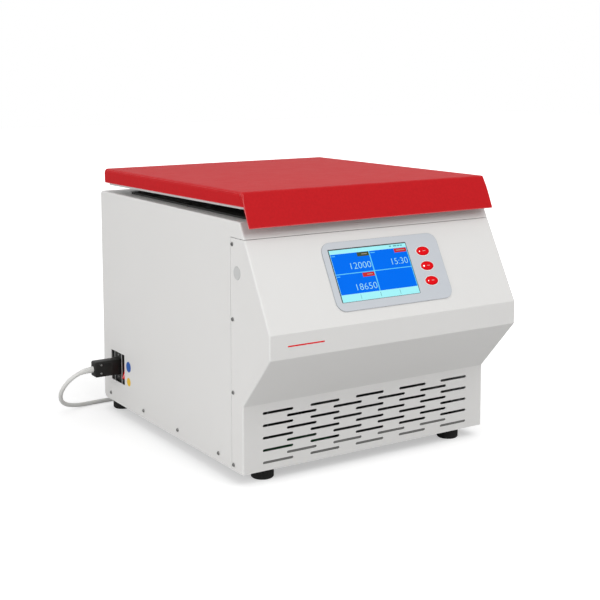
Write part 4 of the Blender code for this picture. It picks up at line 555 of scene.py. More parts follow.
def ring_skin(rings, looped=False):
    """Rings of equal counts joined in order, then back to the first or capped at both ends."""
    work = bmesh.new()
    made = [[work.verts.new(spot) for spot in ring] for ring in rings]
    count = len(made[0])
    for place in range(-1 if looped else 0, len(made) - 1):
        lower, upper = made[place], made[place + 1]
        for step in range(count):
            after = (step + 1) % count
            work.faces.new([lower[step], lower[after], upper[after], upper[step]])
    if not looped:
        work.faces.new(made[0])
        work.faces.new(made[-1])
    return mesh_of(work)


def turned(profile, segments=64):
    """A profile of radius and height turned about Z into a closed solid."""
    work = bmesh.new()
    turns = [2 * pi * step / segments for step in range(segments)]
    rings = []
    for radius, height in profile:
        spots = [(radius * cos(turn), radius * sin(turn), height) for turn in turns]
        rings.append([work.verts.new(spot) for spot in (spots if radius else spots[:1])])
    for place in range(-1, len(rings) - 1):
        first, second = rings[place], rings[place + 1]
        if len(first) == 1 and len(second) == 1:
            continue
        for step in range(segments):
            after = (step + 1) % segments
            corners = [first[step % len(first)], first[after % len(first)]]
            corners += [second[after % len(second)], second[step % len(second)]]
            work.faces.new(list(dict.fromkeys(corners)))
    return mesh_of(work)


def placed(mesh, matrix):
    mesh.transform(matrix)
    return mesh


def gathered(meshes):
    """Several meshes held in one, each with its own material number kept."""
    work = bmesh.new()
    for mesh in meshes:
        work.from_mesh(mesh)
    mesh = bpy.data.meshes.new("shape")
    work.to_mesh(mesh)
    work.free()
    return mesh


def numbered(mesh, number):
    for face in mesh.polygons:
        face.material_index = number
    return mesh


def piece(name, mesh, finishes, body, smooth=True):
    """One finished piece: named, dressed, shaded and riding on its body."""
    mesh.name = name
    for title in [finishes] if isinstance(finishes, str) else finishes:
        mesh.materials.append(finish(title))
    if smooth:
        mesh.shade_smooth()
        mesh.set_sharp_from_angle(angle=SHARP_OVER)
    return belonging(new_object(name, mesh), body)


# Geometry Nodes

def open_shape(name, inputs):
    geometry = {"Geometry": ("Geometry", None)}
    return open_tree(name, "GeometryNodeTree", {**geometry, **inputs}, geometry)


def close_tree(tree, given, wanted, instances):
    real = add(tree, "GeometryNodeRealizeInstances", Geometry=instances).outputs["Geometry"]
    dressed = add(tree, "GeometryNodeSetMaterial", Geometry=real, Material=given["Material"])
    join(tree, dressed.outputs["Geometry"], wanted["Geometry"])
    return tree


def apply_tree(tree, seed_mesh, values):
    """Runs a tree on a mesh and returns the plain mesh that it makes."""
    holder = new_object("holder", seed_mesh)
    step = holder.modifiers.new("grow", "NODES")
    step.node_group = tree
    for item in tree.interface.items_tree:
        if item.item_type == "SOCKET" and item.in_out == "INPUT" and item.name in values:
            step[item.identifier] = values[item.name]
    bpy.context.view_layer.update()
    graph = bpy.context.evaluated_depsgraph_get()
    result = bpy.data.meshes.new_from_object(holder.evaluated_get(graph))
    holder.modifiers.remove(step)
    bpy.data.objects.remove(holder)
    return result


def tree_of_screws():
    """Pan-head screws with a cross recess, one on each point, turned as the point faces."""
    top_share, recess_share, recess_lift = 0.72, 1.15, 0.9
    tree, given, wanted = open_shape("Screw heads", {
        "Radius": ("Float", 0.0034), "Height": ("Float", 0.0014), "Recess": ("Float", 0.0009),
        "Seed": ("Int", 3), "Material": ("Material", None)})
    head = add(tree, "GeometryNodeMeshCone", {"fill_type": "NGON"}, Vertices=20,
               Radius_Top=calc(tree, "MULTIPLY", given["Radius"], top_share),
               Radius_Bottom=given["Radius"], Depth=given["Height"])
    cutting = add(tree, "GeometryNodeMeshBoolean", {"operation": "DIFFERENCE"})
    join(tree, head.outputs["Mesh"], cutting.inputs["Mesh 1"])
    long_side = calc(tree, "MULTIPLY", given["Radius"], recess_share)
    rise = calc(tree, "MULTIPLY", given["Height"], recess_lift)
    lift = add(tree, "ShaderNodeCombineXYZ", Z=rise).outputs["Vector"]
    for across, along_y in ((long_side, given["Recess"]), (given["Recess"], long_side)):
        size = add(tree, "ShaderNodeCombineXYZ", X=across, Y=along_y, Z=given["Height"])
        bar = add(tree, "GeometryNodeMeshCube", Size=size.outputs["Vector"])
        raised = add(tree, "GeometryNodeTransform", Geometry=bar.outputs["Mesh"],
                     Translation=lift)
        tree.links.new(raised.outputs["Geometry"], cutting.inputs["Mesh 2"])
    facing = add(tree, "GeometryNodeInputNamedAttribute", {"data_type": "FLOAT_VECTOR"},
                 Name="facing")
    upright = add(tree, "FunctionNodeAlignRotationToVector", {"axis": "Z"},
                  Vector=facing.outputs["Attribute"])
    number = add(tree, "GeometryNodeInputIndex").outputs["Index"]
    chance = add(tree, "FunctionNodeRandomValue", {"data_type": "FLOAT"}, ID=number,
                 Seed=given["Seed"])
    spin = add(tree, "FunctionNodeAxisAngleToRotation", Axis=(0.0, 0.0, 1.0),
               Angle=calc(tree, "MULTIPLY", chance.outputs[1], 2 * pi))
    both = add(tree, "FunctionNodeRotateRotation", {"rotation_space": "LOCAL"},
               Rotation=upright.outputs["Rotation"], Rotate_By=spin.outputs["Rotation"])
    spots = add(tree, "GeometryNodeMeshToPoints", Mesh=given["Geometry"]).outputs["Points"]
    many = add(tree, "GeometryNodeInstanceOnPoints", Points=spots,
               Instance=cutting.outputs["Mesh"], Rotation=both.outputs["Rotation"])
    return close_tree(tree, given, wanted, many.outputs["Instances"])


def points_mesh(spots):
    """A mesh of loose points, each with the direction that its screw faces."""
    mesh = bpy.data.meshes.new("points")
    mesh.from_pydata([spot for spot, facing in spots], [], [])
    attribute = mesh.attributes.new("facing", "FLOAT_VECTOR", "POINT")
    attribute.data.foreach_set("vector", [value for spot, facing in spots for value in facing])
    return mesh


def tree_of_ribs():
    """Upright ribs on a circle, for the grip of the rotor nut."""
    tree, given, wanted = open_shape("Grip ribs", {
        "Count": ("Int", 24), "Radius": ("Float", 0.0165), "Thickness": ("Float", 0.0016),
        "Height": ("Float", 0.014), "Material": ("Material", None)})
    circle = add(tree, "GeometryNodeMeshCircle", Vertices=given["Count"],
                 Radius=given["Radius"])
    rib = add(tree, "GeometryNodeMeshCylinder", {"fill_type": "NGON"}, Vertices=8,
              Radius=given["Thickness"], Depth=given["Height"])
    many = add(tree, "GeometryNodeInstanceOnPoints", Points=circle.outputs["Mesh"],
               Instance=rib.outputs["Mesh"])
    centre = add(tree, "GeometryNodeInputPosition").outputs["Position"]
    corner = add(tree, "GeometryNodeSampleIndex", {"data_type": "FLOAT_VECTOR"},
                 Geometry=given["Geometry"], Value=centre, Index=0)
    shifted = add(tree, "GeometryNodeTransform", Geometry=many.outputs["Instances"],
                  Translation=corner.outputs["Value"])
    return close_tree(tree, given, wanted, shifted.outputs["Geometry"])


# Smooth paths for the lead, the same as the model's own

def curve_spot(spots, share):
    first, second, third, fourth = spots
    bend = (2 * first - 5 * second + 4 * third - fourth) * share ** 2
    twist = (3 * second - first - 3 * third + fourth) * share ** 3
    return (2 * second + (third - first) * share + bend + twist) / 2


def smooth_path(route, steps):
    spots = [Vector(spot) for spot in route]
    spots = [2 * spots[0] - spots[1]] + spots + [2 * spots[-1] - spots[-2]]
    path = []
    for place in range(1, len(spots) - 2):
        path += [curve_spot(spots[place - 1:place + 3], step / steps) for step in range(steps)]
    return path + [spots[-2]]


def coil_path(steps):
    """Two layers of turns: in along the bench, up, and out again on top, rising to the plug."""
    inward = COIL_TURNS * steps
    climb = steps // 2
    total = 2 * inward + climb - steps // 4
    middle = inward + climb / 2
    lift = PLUG_LIFT - COIL_FLOOR - COIL_PITCH
    path = []
    for step in range(total + 1):
        turn = 2 * pi * step / steps - pi / 2
        radius = COIL_RADIUS - COIL_PITCH * (middle - abs(step - middle)) / steps
        layer = min(max((step - inward) / climb, 0), 1)
        rise = max(1 - (total - step) / climb, 0)
        height = COIL_FLOOR + COIL_PITCH * layer + lift * rise
        path.append(Vector((COIL_CENTRE[0] + radius * cos(turn),
                            COIL_CENTRE[1] + radius * sin(turn), height)))
    path.append(path[-1] + Vector((-sin(turn), cos(turn), 0)) * (COIL_LEAD - 0.001))
    return path


# Pieces

class CENTRIFUGE_OT_finishes(bpy.types.Operator):
    """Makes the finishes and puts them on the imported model's nodes"""
    bl_idname = "centrifuge.finishes"
    bl_label = "Finishes"

    def execute(self, context):
        make_finishes()
        dress("casing_paint", "housing", "front_panel", "rear_panel")
        dress("lid_paint", "lid_cover")
        dress("tray_paint", "lid_tray", "release_pull")
        dress("fascia_film", "display_fascia")
        dress("screen_field", "display_glass")
        dress("key_red", "mains_rocker", "key_lower", "key_middle", "key_upper")
        dress("moulded_black", "inlet_plate", "deck_liner", "rotor_nut", "latch_motor",
              "mains_inlet", "mains_switch", "cord_connector", "cooling_fan", "fan_impeller")
        dress("rubber_black", "foot_front_left", "foot_front_right", "foot_rear_left",
              "foot_rear_right", "lid_seal", "spindle_boot", "motor_damper_1",
              "motor_damper_2", "motor_damper_3")
        dress("pan_zinc_shaded", "base_pan")
        dress("plated_zinc", "upright_left", "upright_right", "chamber_plate",
              "plate_stand_left", "plate_stand_right", "hinge_bracket_left",
              "hinge_bracket_right", "hinge_leaf_left", "hinge_leaf_right", "latch_case",
              "display_module", "power_supply")
        dress("steel_across", "lid_armour", "lid_striker", "hinge_pin_left",
              "hinge_pin_right", "latch_hook")
        dress("steel_turned", "rotor_bowl", "guard_ring", "drive_motor", "spindle")
        dress("alloy_turned", "rotor", "drive_inverter")
        dress("board_green", "key_board", "control_board")
        dress("cord_sheath", "mains_cord", "cord_coil", "wall_plug")
        return {"FINISHED"}


def screen_slab(left, low, right, high, lift, number):
    """A thin patch on the screen, placed by shares across and down it."""
    outline = rectangle(SCREEN_LEFT + left * SCREEN_WIDE, SCREEN_HIGH - high * SCREEN_TALL,
                        SCREEN_LEFT + right * SCREEN_WIDE, SCREEN_HIGH - low * SCREEN_TALL)
    return numbered(prism(outline, "Z", GLASS_FACE + 0.00001, GLASS_FACE + lift), number)


def words(text, right, foot, tall, wide, depth):
    """Digits as a thin mesh, right-aligned in a box of the wanted size."""
    solid, thinner = 0.5, -0.016
    curve = bpy.data.curves.new("digits", "FONT")
    curve.body = text
    curve.extrude = solid
    curve.offset = thinner
    curve.resolution_u = 4
    item = new_object("digits", curve)
    bpy.context.view_layer.update()
    graph = bpy.context.evaluated_depsgraph_get()
    mesh = bpy.data.meshes.new_from_object(item.evaluated_get(graph))
    bpy.data.objects.remove(item)
    spots = [vertex.co for vertex in mesh.vertices]
    low = Vector([min(spot[axis] for spot in spots) for axis in range(3)])
    high = Vector([max(spot[axis] for spot in spots) for axis in range(3)])
    size = high - low
    grow = Matrix.Diagonal((wide / size.x, tall / size.y, depth / size.z, 1))
    corner = Matrix.Translation((-high.x, -low.y, -low.z))
    return placed(mesh, Matrix.Translation((right, foot, 0)) @ grow @ corner)


class CENTRIFUGE_OT_screen(bpy.types.Operator):
    """Lays the picture on the screen: strips, fields, badges and plain readings"""
    bl_idname = "centrifuge.screen"
    bl_label = "Screen picture"

    def execute(self, context):
        titles = ["screen_strip", "screen_divider", "screen_badge", "screen_olive",
                  "screen_grey", "screen_digit", "screen_label"]
        strip, line, badge, olive, grey, digit, label = range(len(titles))
        flat, low, high = 0.00008, 0.00014, 0.00020
        # Shares of the screen: left, top, right, bottom; then how far it stands out, and its colour
        patches = [
            (0, 0, 1, 0.097, flat, strip), (0, 0.857, 1, 1, flat, strip),
            (0, 0.097, 0.016, 0.857, flat, strip), (0.986, 0.097, 1, 0.857, flat, line),
            (0.495, 0.097, 0.507, 0.857, low, line), (0.016, 0.470, 0.986, 0.484, flat, line),
            (0.345, 0.102, 0.493, 0.178, low, olive), (0.825, 0.102, 0.984, 0.178, low, badge),
            (0.345, 0.490, 0.493, 0.566, low, badge),
            (0.398, 0.132, 0.468, 0.146, high, label), (0.850, 0.132, 0.960, 0.146, high, label),
            (0.400, 0.520, 0.470, 0.534, high, label),
            (0.026, 0.127, 0.070, 0.139, flat, line), (0.518, 0.127, 0.572, 0.139, flat, line),
            (0.026, 0.513, 0.064, 0.525, flat, line),
        ]
        patches += [(place, 0.040, place + 0.028, 0.062, low, grey)
                    for place in (0.775, 0.828, 0.846, 0.882, 0.918)]
        patches += [(place - 0.0022, 0.880, place + 0.0022, 0.965, low, grey)
                    for place in (0.25, 0.5, 0.75)]
        meshes = [screen_slab(*patch) for patch in patches]
        digit_tall = 0.117
        on_glass = Matrix.Translation((0, 0, GLASS_FACE))
        for text, right, foot, share in (("12000", 0.484, 0.402, 0.256),
                                         ("15:30", 0.962, 0.402, 0.208),
                                         ("18650", 0.484, 0.802, 0.256)):
            mesh = words(text, SCREEN_LEFT + right * SCREEN_WIDE, SCREEN_HIGH - foot * SCREEN_TALL,
                         digit_tall * SCREEN_TALL, share * SCREEN_WIDE, low)
            meshes.append(numbered(placed(mesh, on_glass), digit))
        piece("screen_picture", placed(gathered(meshes), SLOPE), titles, "chassis",
              smooth=False)
        # Dark bars along the window's edges, widest at the top and left: painted shadow of the
        # recess
        wide = SCREEN_EDGE_SHADOW
        bars = ((SCREEN_LEFT, SCREEN_HIGH - wide, SCREEN_RIGHT, SCREEN_HIGH),
                (SCREEN_LEFT, SCREEN_LOW, SCREEN_LEFT + wide, SCREEN_HIGH),
                (SCREEN_RIGHT - wide / 2, SCREEN_LOW, SCREEN_RIGHT, SCREEN_HIGH - wide),
                (SCREEN_LEFT + wide, SCREEN_LOW, SCREEN_RIGHT - wide / 2, SCREEN_LOW + wide / 3))
        edge_shadow_bars = [prism(rectangle(*bar), "Z", GLASS_FACE + 0.00001, GLASS_FACE + 0.00024)
                  for bar in bars]
        piece("screen_border", placed(gathered(edge_shadow_bars), SLOPE), "moulded_black", "chassis",
              smooth=False)
        return {"FINISHED"}


class CENTRIFUGE_OT_keys(bpy.types.Operator):
    """Makes the three domed keys with their lamps, marks and pale rings"""
    bl_idname = "centrifuge.keys"
    bl_label = "Keys"

    def execute(self, context):
        ring = 2 * sizes().key_ring
        foot, top = FASCIA_FACE + 0.00005, FASCIA_FACE + 0.0002
        for word, row in KEY_ROWS.items():
            body = word + "_key"
            centre = (KEY_X, row)
            dome = [at_height(oval(centre, KEY_WIDE - 2 * inset, KEY_TALL - 2 * inset), height)
                    for inset, height in KEY_DOME]
            cap = piece("key_cap_" + word, placed(ring_skin(dome), SLOPE), "key_red", body)
            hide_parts("key_" + word)
            across = 2 * LAMP_RADII[word]
            lamp = prism(oval((KEY_X + LAMP_OFFSET, row), across, across, 20), "Z", KEY_TOP,
                         KEY_TOP + 0.0002)
            bar = prism(rectangle(KEY_X - 0.0004, row - 0.0004, KEY_X + 0.0048, row + 0.0006),
                        "Z", KEY_TOP, KEY_TOP + 0.00012)
            marks = placed(gathered([lamp, numbered(bar, 1)]), SLOPE)
            piece("key_marks_" + word, marks, ["lamp_white", "key_word"], body,
                  smooth=False)
            wide, tall = KEY_WIDE + KEY_GAP, KEY_TALL + KEY_GAP
            outer = oval(centre, wide + ring, tall + ring)
            inner = oval(centre, wide, tall)
            loops = [at_height(outline, height) for outline, height in (
                (inner, foot), (outer, foot), (outer, top), (inner, top))]
            piece("key_ring_" + word, placed(ring_skin(loops, looped=True), SLOPE), "key_mark",
                  "chassis")
        return {"FINISHED"}


def side_screws():
    spots = []
    for side in (-1, 1):
        face = side * (HALF_WIDTH + SCREW_STAND)
        spots += [(face, CHEEK_Y, z) for z in CHEEK_SCREWS_Z]
        spots += [(face, y, SIDE_FOOT_Z) for y in SIDE_SCREWS_Y]
    found = [(spot, (1 if spot[0] > 0 else -1, 0, 0)) for spot in spots]
    rear = REAR_PANEL_Y + SCREW_STAND
    for reach, heights in ((REAR_EDGE_X, REAR_EDGE_Z), (REAR_INNER_X, REAR_INNER_Z)):
        found += [((x, rear, z), (0, 1, 0)) for x in (-reach, reach) for z in heights]
    return found


def liner_screws():
    return [((x, y, DECK_TOP_Z), (0, 0, 1)) for x in (-LINER_X, LINER_X) for y in LINER_Y]


def small_screws():
    """Two screws in the inlet's flange, and two in the connector's broad side."""
    flange_face = CONNECTOR_ROOT - 0.0001
    broad_face = INLET_Y - CONNECTOR_HALF_DEEP - 0.0002
    from_end, off_middle = 0.0125, (0.0080, -0.0078)
    return [((flange_face, INLET_Y, z), (-1, 0, 0)) for z in INLET_SCREWS_Z] + [
        ((CONNECTOR_END + from_end, broad_face, INLET_Z + z), (0, -1, 0)) for z in off_middle]


def lid_screws():
    """Screws in the lid tray's edge, and two for each half of a hinge leaf."""
    down = LID.to_3x3() @ Vector((0, 0, -1))
    edge_x, edge_y = (-0.222, 0.222), (-0.205, -0.04, 0.12, 0.270)
    inner_x, inner_y = (-0.075, 0.075), (-0.205, 0.275)
    leaf_x, leaf_y = (-0.156, -0.144, 0.144, 0.156), (0.262, 0.280)
    tray = [(x, y) for x in edge_x for y in edge_y] + [(x, y) for x in inner_x for y in inner_y]
    leaf = [(x, y) for x in leaf_x for y in leaf_y]
    return [(LEVEL_LID @ Vector((x, y, height)), down)
            for spots, height in ((tray, TRAY_UNDERSIDE_Z), (leaf, LEAF_UNDERSIDE_Z))
            for x, y in spots]


class CENTRIFUGE_OT_screws(bpy.types.Operator):
    """Sets the screw heads on the casing, the connector and the lid"""
    bl_idname = "centrifuge.screws"
    bl_label = "Screws"

    def execute(self, context):
        tree = tree_of_screws()
        size = sizes()
        recess_share = 0.26
        big = size.screw_radius, size.screw_height
        small = size.small_screw_radius, size.small_screw_height
        for name, spots, (radius, height), title, body in (
                ("casing_screws", side_screws(), big, "screw_zinc_shaded", "chassis"),
                ("liner_screws", liner_screws(), big, "moulded_black", "chassis"),
                ("connector_screws", small_screws(), small, "screw_zinc_shaded", "chassis"),
                ("lid_screws", lid_screws(), big, "screw_zinc_shaded", "lid")):
            values = {"Radius": radius, "Height": height, "Recess": radius * recess_share,
                      "Material": finish(title)}
            mesh = apply_tree(tree, points_mesh(spots), values)
            belonging(new_object(name, mesh), body)
        return {"FINISHED"}


def cut_outline(end, root, half, cut_x, cut_z):
    """The connector seen from its broad side, with its two outer corners cut off."""
    low, high = INLET_Z - half, INLET_Z + half
    return [(end, low + cut_z), (end + cut_x, low), (root, low), (root, high),
            (end + cut_x, high), (end, high - cut_z)]


def connector_meshes():
    """The connector's shell, raised lid, collar and nose, and the eye that the lead enters."""
    tall, deep = CONNECTOR_HALF_TALL, CONNECTOR_HALF_DEEP
    cut, inset, lid_rise, lid_gap = 0.0022, 0.003, 0.00035, 0.018
    collar_tall, collar_deep, collar_long = tall + 0.0006, 0.0088, 0.009
    nose_tall, nose_deep, nose_long = 0.0120, 0.0080, 0.0155
    eye_profile = [(0.0042, 0), (0.0062, 0), (0.0060, 0.0012), (0.0044, 0.0012)]
    end, root = CONNECTOR_END, CONNECTOR_ROOT
    shell = prism(cut_outline(end, root, tall, cut, cut), "Y", INLET_Y - deep, INLET_Y + deep,
                  0.0012, 3)
    lid_outline = cut_outline(end + inset, root - lid_gap, tall - inset, cut, cut - 0.001)
    lid = prism(lid_outline, "Y", INLET_Y - deep - lid_rise, INLET_Y + deep + lid_rise, 0.0003, 1)
    collar = prism(centred(INLET_Y, INLET_Z, collar_deep, collar_tall), "X",
                   root - collar_long, root, 0.0008)
    nose = prism(centred(INLET_Y, INLET_Z, nose_deep, nose_tall), "X", root - 0.001,
                 root + nose_long, 0.0008)
    outwards = Matrix.Rotation(-pi / 2, 4, "Y")
    at_end = Matrix.Translation((end + 0.0005, INLET_Y, INLET_Z))
    eye = placed(turned(eye_profile, 32), at_end @ outwards)
    return [shell, lid, collar, nose, eye]


def rocker_bar():
    """A thin bar on the rocker's lower face, from 0.34 to 0.80 of the way down it."""
    start, stop, foot, top = 0.34, 0.80, 0.00002, 0.0002
    dip, drop, fall, out, up = 0.0015, 0.0021, 0.014, -0.989, 0.148
    face = [(-dip - drop * share + out * lift, -fall * share + up * lift)
            for share, lift in ((start, foot), (stop, foot), (stop, top), (start, top))]
    at_rest = Matrix.Translation((-0.2395, 0.2203, 0.0870)) @ Matrix.Rotation(radians(10), 4, "Y")
    return placed(prism(face, "Y", -0.0006, 0.0006), at_rest)


class CENTRIFUGE_OT_inlet(bpy.types.Operator):
    """Shapes the connector in the inlet and marks the mains switch"""
    bl_idname = "centrifuge.inlet"
    bl_label = "Inlet and switch"

    def execute(self, context):
        shell = piece("connector_shell", gathered(connector_meshes()), "moulded_black", "chassis")
        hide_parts("cord_connector")
        low, high, back, front = 0.0545, 0.1275, -0.2440, -0.2434
        edges = [prism(rectangle(y, low, y + wide, high), "X", back, front)
                 for y, wide in ((0.2094, 0.0009), (0.2289, 0.0014), (0.2600, 0.0010))]
        piece("inlet_edges", gathered(edges), "tray_paint", "chassis",
              smooth=False)
        piece("rocker_mark", rocker_bar(), "key_mark", "rocker", smooth=False)
        return {"FINISHED"}


class CENTRIFUGE_OT_lead(bpy.types.Operator):
    """Runs the mains lead from the connector down to the bench, into its coil and on to the plug"""
    bl_idname = "centrifuge.lead"
    bl_label = "Mains lead"

    def execute(self, context):
        start = Vector((CONNECTOR_END, INLET_Y, INLET_Z))
        coil = coil_path(COIL_STEPS)
        route = [start] + [Vector(spot) for spot in CORD_ROUTE]
        path = smooth_path(route + [coil[0] - Vector((COIL_LEAD, 0, 0))], ROUTE_STEPS) + coil
        curve = bpy.data.curves.new("mains_lead", "CURVE")
        curve.dimensions = "3D"
        spline = curve.splines.new("POLY")
        spline.points.add(len(path) - 1)
        for point, spot in zip(spline.points, path):
            point.co = (*spot, 1)
        curve.bevel_depth = CORD_RADIUS
        curve.bevel_resolution = 4
        curve.use_fill_caps = True
        curve.materials.append(finish("cord_sheath"))
        lead = belonging(new_object("mains_lead", curve), "chassis")
        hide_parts("mains_cord", "cord_coil")
        ends = [bpy.data.objects["connector_shell"], make_relief(path), NODES["wall_plug"]]
        make_tie()
        return {"FINISHED"}


def spot_along(path, reach):
    """The spot and the heading at a distance along a path."""
    for before, after in zip(path, path[1:]):
        step = (after - before).length
        if reach <= step:
            return before.lerp(after, reach / step), (after - before).normalized()
        reach -= step
    raise ValueError("the path is shorter than that")


def make_relief(path):
    """The tapered, ribbed sleeve that keeps the lead from kinking at the connector."""
    size = sizes()
    taper = CORD_RADIUS + 0.0003 - size.relief_root
    turns = [2 * pi * number / RELIEF_SIDES for number in range(RELIEF_SIDES)]
    rings = []
    for step in range(RELIEF_RINGS + 1):
        share = step / RELIEF_RINGS
        spot, heading = spot_along(path, share * size.relief_length)
        side = heading.cross(Vector((0, 0, 1))).normalized()
        up = side.cross(heading)
        radius = size.relief_root + taper * share
        if step % 4 in (1, 2) and 2 < step < RELIEF_RINGS - 2:
            radius += RELIEF_RIB
        rings.append([spot + radius * (side * cos(turn) + up * sin(turn)) for turn in turns])
    return piece("lead_relief", ring_skin(rings), "cord_sheath", "chassis")


def make_tie():
    """A strap round the coil's turns, on the side away from the machine."""
    slack, thick, half_wide, bend, clear = 0.0008, 0.0011, 0.006, 0.003, 0.0002
    inner = COIL_RADIUS - COIL_PITCH * COIL_TURNS - CORD_RADIUS - slack
    outer = COIL_RADIUS + CORD_RADIUS + slack
    top = COIL_FLOOR + COIL_PITCH + CORD_RADIUS + slack
    loops = []
    for spare, half in ((0, -half_wide), (thick, -half_wide), (thick, half_wide), (0, half_wide)):
        corners = rounded(inner - spare, 0 if spare else clear, outer + spare, top + spare,
                          bend + spare, steps=5, foot=0)
        loops.append([(half, u, v) for u, v in corners])
    turn = Matrix.Translation((*COIL_CENTRE, 0)) @ Matrix.Rotation(radians(200), 4, "Z")
    piece("coil_tie", placed(ring_skin(loops, looped=True), turn), "moulded_black", "chassis")


class CENTRIFUGE_OT_stickers(bpy.types.Operator):
    """Puts on the plain stickers, the red stripe and the bare rating plate"""
    bl_idname = "centrifuge.stickers"
    bl_label = "Stickers"

    def execute(self, context):
        thick, lift = 0.00018, 0.00002
        plate_box, plate_bend, plate_thick = (-0.060, 0.235, 0.060, 0.295), 0.003, 0.0006
        stripe_box, stripe_bend, stripe_thick = (-0.213, 0.2385, -0.146, 0.2407), 0.001, 0.0001
        radius = sizes().sticker_radius
        for name, spot, reach, title in (
                ("sticker_blue", (0.197, 0.101), radius, "blue_sticker"),
                ("sticker_yellow", (0.197, 0.0725), radius * 0.8, "yellow_sticker")):
            disc = prism(oval(spot, 2 * reach, 2 * reach), "X", -HALF_WIDTH - thick,
                         -HALF_WIDTH - lift, 0.00005, 1)
            piece(name, disc, title, "chassis")
        plate = prism(rounded(*plate_box, plate_bend), "Y", REAR_PANEL_Y + 0.00005,
                      REAR_PANEL_Y + plate_thick, 0.0002, 1)
        piece("rating_plate", plate, "plate_silver", "chassis")
        stripe = prism(rounded(*stripe_box, stripe_bend), "Y", NOSE_Y - stripe_thick,
                       NOSE_Y - lift)
        piece("nose_stripe", stripe, "key_red", "chassis")
        return {"FINISHED"}


class CENTRIFUGE_OT_rotor(bpy.types.Operator):
    """Makes the ribbed grip of the rotor nut"""
    bl_idname = "centrifuge.rotor"
    bl_label = "Rotor"

    def execute(self, context):
        seed = bpy.data.meshes.new("seed")
        seed.from_pydata([(0, CHAMBER_Y, NUT_Z)], [], [])
        values = {"Count": sizes().grip_ribs, "Radius": 0.0165, "Thickness": 0.0011,
                  "Height": 0.0125, "Material": finish("moulded_black")}
        mesh = apply_tree(tree_of_ribs(), seed, values)
        belonging(new_object("nut_grip", mesh), "drive")
        return {"FINISHED"}


# Stage

class CENTRIFUGE_OT_stage(bpy.types.Operator):
    """Sets the floor, the light and the camera"""
    bl_idname = "centrifuge.stage"
    bl_label = "Stage"

    def execute(self, context):
        make_floor()
        make_sky()
        make_lamps()
        make_camera()
        context.scene.view_settings.view_transform = "Standard"
        return {"FINISHED"}


def make_floor():
    """A pale floor that the camera sees grow white away from the machine."""
    material = bpy.data.materials.new("pale_floor")
    material.use_nodes = True
    tree = material.node_tree
    surface = tree.nodes["Principled BSDF"]
    spot = object_spot(tree)
    tint = scaled(tree, FLOOR_TONE, about(tree, noise(tree, spot, 2.0), 0.004))
    tree.links.new(tint, surface.inputs["Base Color"])
    for title, value in (("Roughness", 0.9), ("Specular IOR Level", 0.1),
                         ("Emission Color", (1, 1, 1, 1))):
        surface.inputs[title].default_value = value
    path = add(tree, "ShaderNodeLightPath")
    flat = vector_calc(tree, "MULTIPLY", spot, (1.0, 1.0, 0.0))
    fade = add(tree, "ShaderNodeMapRange", {"interpolation_type": "SMOOTHSTEP"},
               Value=vector_calc(tree, "LENGTH", flat), From_Min=0.35, From_Max=1.25,
               To_Min=0.45, To_Max=1.0)
    glow = calc(tree, "MULTIPLY", path.outputs["Is Camera Ray"], fade.outputs["Result"])
    tree.links.new(glow, surface.inputs["Emission Strength"])
    mesh = prism(centred(0, 0, FLOOR_REACH, FLOOR_REACH), "Z", -FLOOR_DEPTH, FLOOR_TOP)
    mesh.materials.append(material)
    new_object("floor", mesh)


def make_sky():
    """Plain light that is stronger from above; seen or mirrored, the sky is white."""
    world = bpy.data.worlds.new("studio")
    world.use_nodes = True
    bpy.context.scene.world = world
    tree = world.node_tree
    path = add(tree, "ShaderNodeLightPath")
    seen = calc(tree, "MAXIMUM", path.outputs["Is Camera Ray"],
                path.outputs["Is Transmission Ray"])
    seen = calc(tree, "MAXIMUM", seen, path.outputs["Is Glossy Ray"])
    way = add(tree, "ShaderNodeTexCoord").outputs["Generated"]
    height = add(tree, "ShaderNodeSeparateXYZ", Vector=way).outputs["Z"]
    share = add(tree, "ShaderNodeMapRange", Value=height, From_Max=0.8,
                To_Min=studio().skyline, To_Max=studio().sky)
    strength = add(tree, "ShaderNodeMix", Factor=seen, A=share.outputs["Result"], B=1.0)
    background = tree.nodes["Background"]
    background.inputs["Color"].default_value = (1, 1, 1, 1)
    tree.links.new(strength.outputs["Result"], background.inputs["Strength"])


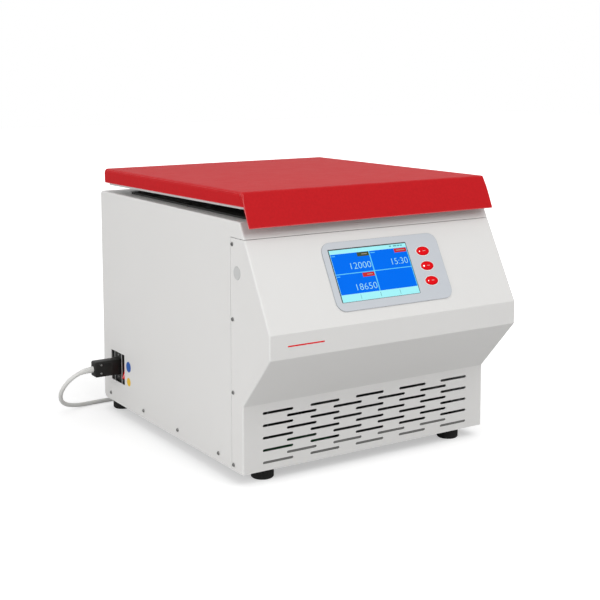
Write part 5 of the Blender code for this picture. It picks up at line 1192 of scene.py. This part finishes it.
def make_lamps():
    """A big lamp above the front and a smaller one on the left."""
    for name, spot, size, power in (("key_lamp", (0.5, -2.2, 2.6), 2.4, studio().key_power),
                                    ("side_lamp", (-2.8, -0.5, 0.75), 1.6, studio().side_power)):
        light = bpy.data.lights.new(name, "AREA")
        light.shape = "SQUARE"
        light.size = size
        light.energy = power
        lamp = new_object(name, light)
        lamp.location = spot
        aim = Vector(LAMP_TARGET) - lamp.location
        lamp.rotation_euler = aim.to_track_quat("-Z", "Y").to_euler()


def make_camera():
    data = bpy.data.cameras.new("camera")
    data.sensor_width = 36
    data.lens = studio().lens
    data.shift_y = CAMERA_SHIFT
    camera = new_object("camera", data)
    camera.location = CAMERA_SPOT
    camera.rotation_euler = (radians(90 - CAMERA_DIP), 0, radians(CAMERA_TURN))
    bpy.context.scene.camera = camera


# Registration

STEPS = (CENTRIFUGE_OT_finishes, CENTRIFUGE_OT_screen, CENTRIFUGE_OT_keys, CENTRIFUGE_OT_screws,
         CENTRIFUGE_OT_inlet, CENTRIFUGE_OT_lead, CENTRIFUGE_OT_stickers, CENTRIFUGE_OT_rotor,
         CENTRIFUGE_OT_stage)
GROUPS = {"centrifuge_colours": CentrifugeColours, "centrifuge_sizes": CentrifugeSizes,
          "centrifuge_studio": CentrifugeStudio}


class CENTRIFUGE_PT_panel(bpy.types.Panel):
    """Lists the steps that finish the machine, and their sizes and colours"""
    bl_idname = "CENTRIFUGE_PT_panel"
    bl_label = "Centrifuge"
    bl_space_type = "VIEW_3D"
    bl_region_type = "UI"
    bl_category = "Centrifuge"

    def draw(self, context):
        for step in STEPS:
            self.layout.operator(step.bl_idname)
        for name in GROUPS:
            group = getattr(context.scene, name)
            for title in group.bl_rna.properties.keys():
                if title not in ("rna_type", "name"):
                    self.layout.prop(group, title)


CLASSES = (*GROUPS.values(), *STEPS, CENTRIFUGE_PT_panel)


def register():
    for item in CLASSES:
        bpy.utils.register_class(item)
    for name, group in GROUPS.items():
        setattr(bpy.types.Scene, name, PointerProperty(type=group))


def unregister():
    for name in GROUPS:
        delattr(bpy.types.Scene, name)
    for item in reversed(CLASSES):
        bpy.utils.unregister_class(item)


def main():
    register()
    for step in STEPS:
        group, name = step.bl_idname.split(".")
        getattr(getattr(bpy.ops, group), name)()


if __name__ == "__main__":
    main()
